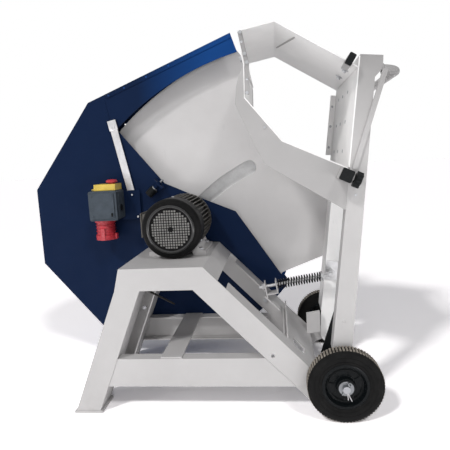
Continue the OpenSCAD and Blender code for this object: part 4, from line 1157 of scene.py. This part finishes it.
# %% Lock plunger
LOCK_SLOPE = math.radians(42.6)
GRIP_RINGS, GRIP_RADIUS, GRIP_RING = (0.027, 0.032, 0.037, 0.042, 0.047), 0.0139, 0.0009
COLLAR, COLLAR_RADIUS, COLLAR_RING = 0.0222, 0.0090, 0.0021
pull = Vector((-math.cos(LOCK_SLOPE), 0, -math.sin(LOCK_SLOPE)))
plunger_end = at(-560, FAR_FACE - 21, 632)
bm = bmesh.new()
for step in GRIP_RINGS:
    hoop(bm, plunger_end + pull * step, pull, GRIP_RADIUS, GRIP_RING, sides=36)
piece("plunger_grip", bm, black_plastic, "plunger", 50)
bm = bmesh.new()
hoop(bm, plunger_end + pull * COLLAR, pull, COLLAR_RADIUS, COLLAR_RING, sides=36, tube_sides=12)
piece("plunger_collar", bm, zinc, "plunger", 50)

# %% [markdown]
# ## Wheel trim
# Each hub has two moulded rings, and each tyre two thin beads on its side. The second wheel could be a
# mirrored copy of the first, but a negative scale turns normals round and every piece has to sit unscaled.
# So a loop builds both wheels, with the side as a sign.

# %% Wheel trim
HUB_RINGS = ((0.0225, 0.2925, 0.0012), (0.0440, 0.2795, 0.0012))
SIDE_BEADS, TYRE_FACE = ((0.0700, 0.0009), (0.0810, 0.0010)), 0.2948
for body, side, rubber_coat in (("near_wheel", -1, near_rubber), ("far_wheel", 1, far_rubber)):
    bm = bmesh.new()
    for reach, y, tube in HUB_RINGS:
        hoop(bm, AXLE + FAR * (side * y), FAR, reach, tube)
    piece(body + "_rings", bm, black_plastic, body, 50)
    bm = bmesh.new()
    for reach, tube in SIDE_BEADS:
        hoop(bm, AXLE + FAR * (side * TYRE_FACE), FAR, reach, tube, sides=96)
    piece(body + "_side_bead", bm, rubber_coat, body, 50)

# %% [markdown]
# ## Split pins
# A split pin through each end of the axle keeps the wheel on, and its two legs are bent apart below. A
# flat strip would be quicker, but it would look like sheet. Each leg is a thin wire that leans by its own
# angle, bows slightly outwards and ends in a point.

# %% Split pins
LEGS, LEG_STEPS, LEG_BOW = ((0.10, 0.024), (0.42, 0.030)), 8, 0.0012
LEG_RADIUS, LEG_POINT = 0.0013, 0.0008
bm = bmesh.new()
for side in (-1, 1):
    start = at(1.5, side * 302.5, AXLE_Z - 6)
    for lean, reach in LEGS:
        way = Vector((math.sin(lean), 0, -math.cos(lean)))
        bows = [FAR * (side * LEG_BOW * math.sin(k * 0.5)) for k in range(LEG_STEPS + 1)]
        path = [start + way * (reach * k / LEG_STEPS) + bow for k, bow in enumerate(bows)]
        wire(bm, path, [LEG_RADIUS] * LEG_STEPS + [LEG_POINT], sides=10)
piece("axle_pin_legs", bm, zinc, "base", 50)

# %% [markdown]
# ## White for the eye
# The saw stands on white paper before a white wall. Strong lamps would make the paper white, but they
# would bleach the paint too. The light path tells which rays are looking: those from the camera, in a
# mirror or through glass see plain white, and all other light meets a quieter surface. So a colour renders
# about as it is written.

# %% Seen and unseen


def seen_directly(tree):
    """1 for rays from the camera, in reflections or through glass, and 0 for all other light."""
    paths = tree.nodes.new("ShaderNodeLightPath")
    seen = paths.outputs["Is Camera Ray"]
    for kind in ("Is Glossy Ray", "Is Transmission Ray"):
        larger = tree.nodes.new("ShaderNodeMath")
        larger.operation = "MAXIMUM"
        tree.links.new(seen, larger.inputs[0])
        tree.links.new(paths.outputs[kind], larger.inputs[1])
        seen = larger.outputs["Value"]
    return seen


def choose(tree, unseen, seen, out):
    """Sends one shader to rays that look, and another to all other light."""
    choice = tree.nodes.new("ShaderNodeMixShader")
    tree.links.new(seen_directly(tree), choice.inputs["Fac"])
    tree.links.new(unseen, choice.inputs[1])
    tree.links.new(seen, choice.inputs[2])
    tree.links.new(choice.outputs["Shader"], out.inputs["Surface"])


print("seen and unseen light can be told apart")

# %% [markdown]
# ## Floor
# The floor catches the saw's two soft shadows. A shadow catcher would need compositing. A large grid of
# white paper is enough: its diffuse colour for the eye is a little above white, so that it renders white
# where the suns reach it and only the shadows stay grey.

# %% Floor
FLOOR_SIZE, FLOOR_CUTS, FLOOR_DROP = 30.0, 24, 0.0005
PAPER_WHITE = (1.58, 1.55, 1.575, 1.0)
bm = bmesh.new()
bmesh.ops.create_grid(bm, x_segments=FLOOR_CUTS, y_segments=FLOOR_CUTS, size=FLOOR_SIZE)
mesh = bpy.data.meshes.new("floor")
bm.to_mesh(mesh)
bm.free()
floor = bpy.data.objects.new("floor", mesh)
scene.collection.objects.link(floor)
floor.location.z = -FLOOR_DROP
ground = Finish("floor_paper")
ground.colour(ground.ramp(ground.noise(3.0), [(0.3, (0.95, 0.945, 0.95)), (0.7, (0.97, 0.965, 0.97))]))
ground.put("Roughness", 0.9)
ground.put("Specular IOR Level", 0.1)
paper = ground.add("ShaderNodeBsdfDiffuse")
paper.inputs["Color"].default_value = PAPER_WHITE
paper_out = ground.tree.nodes["Material Output"]
choose(ground.tree, ground.shader.outputs["BSDF"], paper.outputs["BSDF"], paper_out)
mesh.materials.append(ground.material)
print("floor is", 2 * FLOOR_SIZE, "m wide")

# %% [markdown]
# ## Lamps
# The picture has two soft shadows, one to each side, so two soft suns stand at the front left and the
# front right. Small fills from the left, the front and low on both sides lift the folds that the suns do
# not reach. A strong sky could do that too, but it would flatten the form. Only the low fills show in
# reflections, because the others would leave bright patches on the plated strap.

# %% Lamps
SUN_WHITE = (1.0, 0.99, 0.98)
SUNS = (("left_sun", 1.28, (0.38, 0.60, -0.70), 6), ("right_sun", 0.70, (-0.36, 0.58, -0.73), 8))
FILLS = (("left_fill", 11.0, (0.86, 0.50, -0.04), (-2.30, -1.50, 0.95)),
         ("front_fill", 10.0, (0.0, 1.0, -0.03), (0.20, -2.60, 0.80)),
         ("low_left_fill", 5.0, (0.54, 0.73, 0.42), (-1.10, -1.70, 0.08)),
         ("low_right_fill", 7.0, (-0.50, 0.75, 0.43), (1.30, -1.70, 0.08)))


def lamp(name, kind, energy, way, place=(0, 0, 3), **settings):
    light = bpy.data.lights.new(name, kind)
    light.energy = energy
    for key, value in settings.items():
        setattr(light, key, value)
    made = bpy.data.objects.new(name, light)
    scene.collection.objects.link(made)
    made.location = place
    made.rotation_euler = Vector(way).to_track_quat("-Z", "Y").to_euler()
    made.visible_camera = False
    made.visible_glossy = name.startswith("low")


for name, energy, way, softness in SUNS:
    lamp(name, "SUN", energy, way, angle=math.radians(softness), color=SUN_WHITE)
for name, energy, way, place in FILLS:
    lamp(name, "AREA", energy, way, place, shape="RECTANGLE", size=0.9, size_y=0.4)
print("lamps:", len(SUNS) + len(FILLS))

# %% [markdown]
# ## Surround
# Behind the floor the picture is plain white, while the saw itself needs only a weak and slightly blue sky
# light to fill its shadows. One background cannot be both. The same choice as on the floor shows white to
# the eye and the weak sky to everything else. The plain view transform keeps colours as they were written.

# %% Surround
SKY_BLUE, SKY_STRENGTH = (0.96, 0.97, 1.0, 1.0), 0.20
PLAIN_WHITE, WHITE_STRENGTH = (1.0, 1.0, 1.0, 1.0), 1.0
world = bpy.data.worlds.new("surround")
scene.world = world
world.use_nodes = True
tree = world.node_tree
tree.nodes.clear()
backgrounds = []
for colour, strength in ((SKY_BLUE, SKY_STRENGTH), (PLAIN_WHITE, WHITE_STRENGTH)):
    background = tree.nodes.new("ShaderNodeBackground")
    background.inputs["Color"].default_value = colour
    background.inputs["Strength"].default_value = strength
    backgrounds.append(background.outputs["Background"])
choose(tree, backgrounds[0], backgrounds[1], tree.nodes.new("ShaderNodeOutputWorld"))
scene.view_settings.view_transform = "Standard"
print("sky strength:", SKY_STRENGTH)
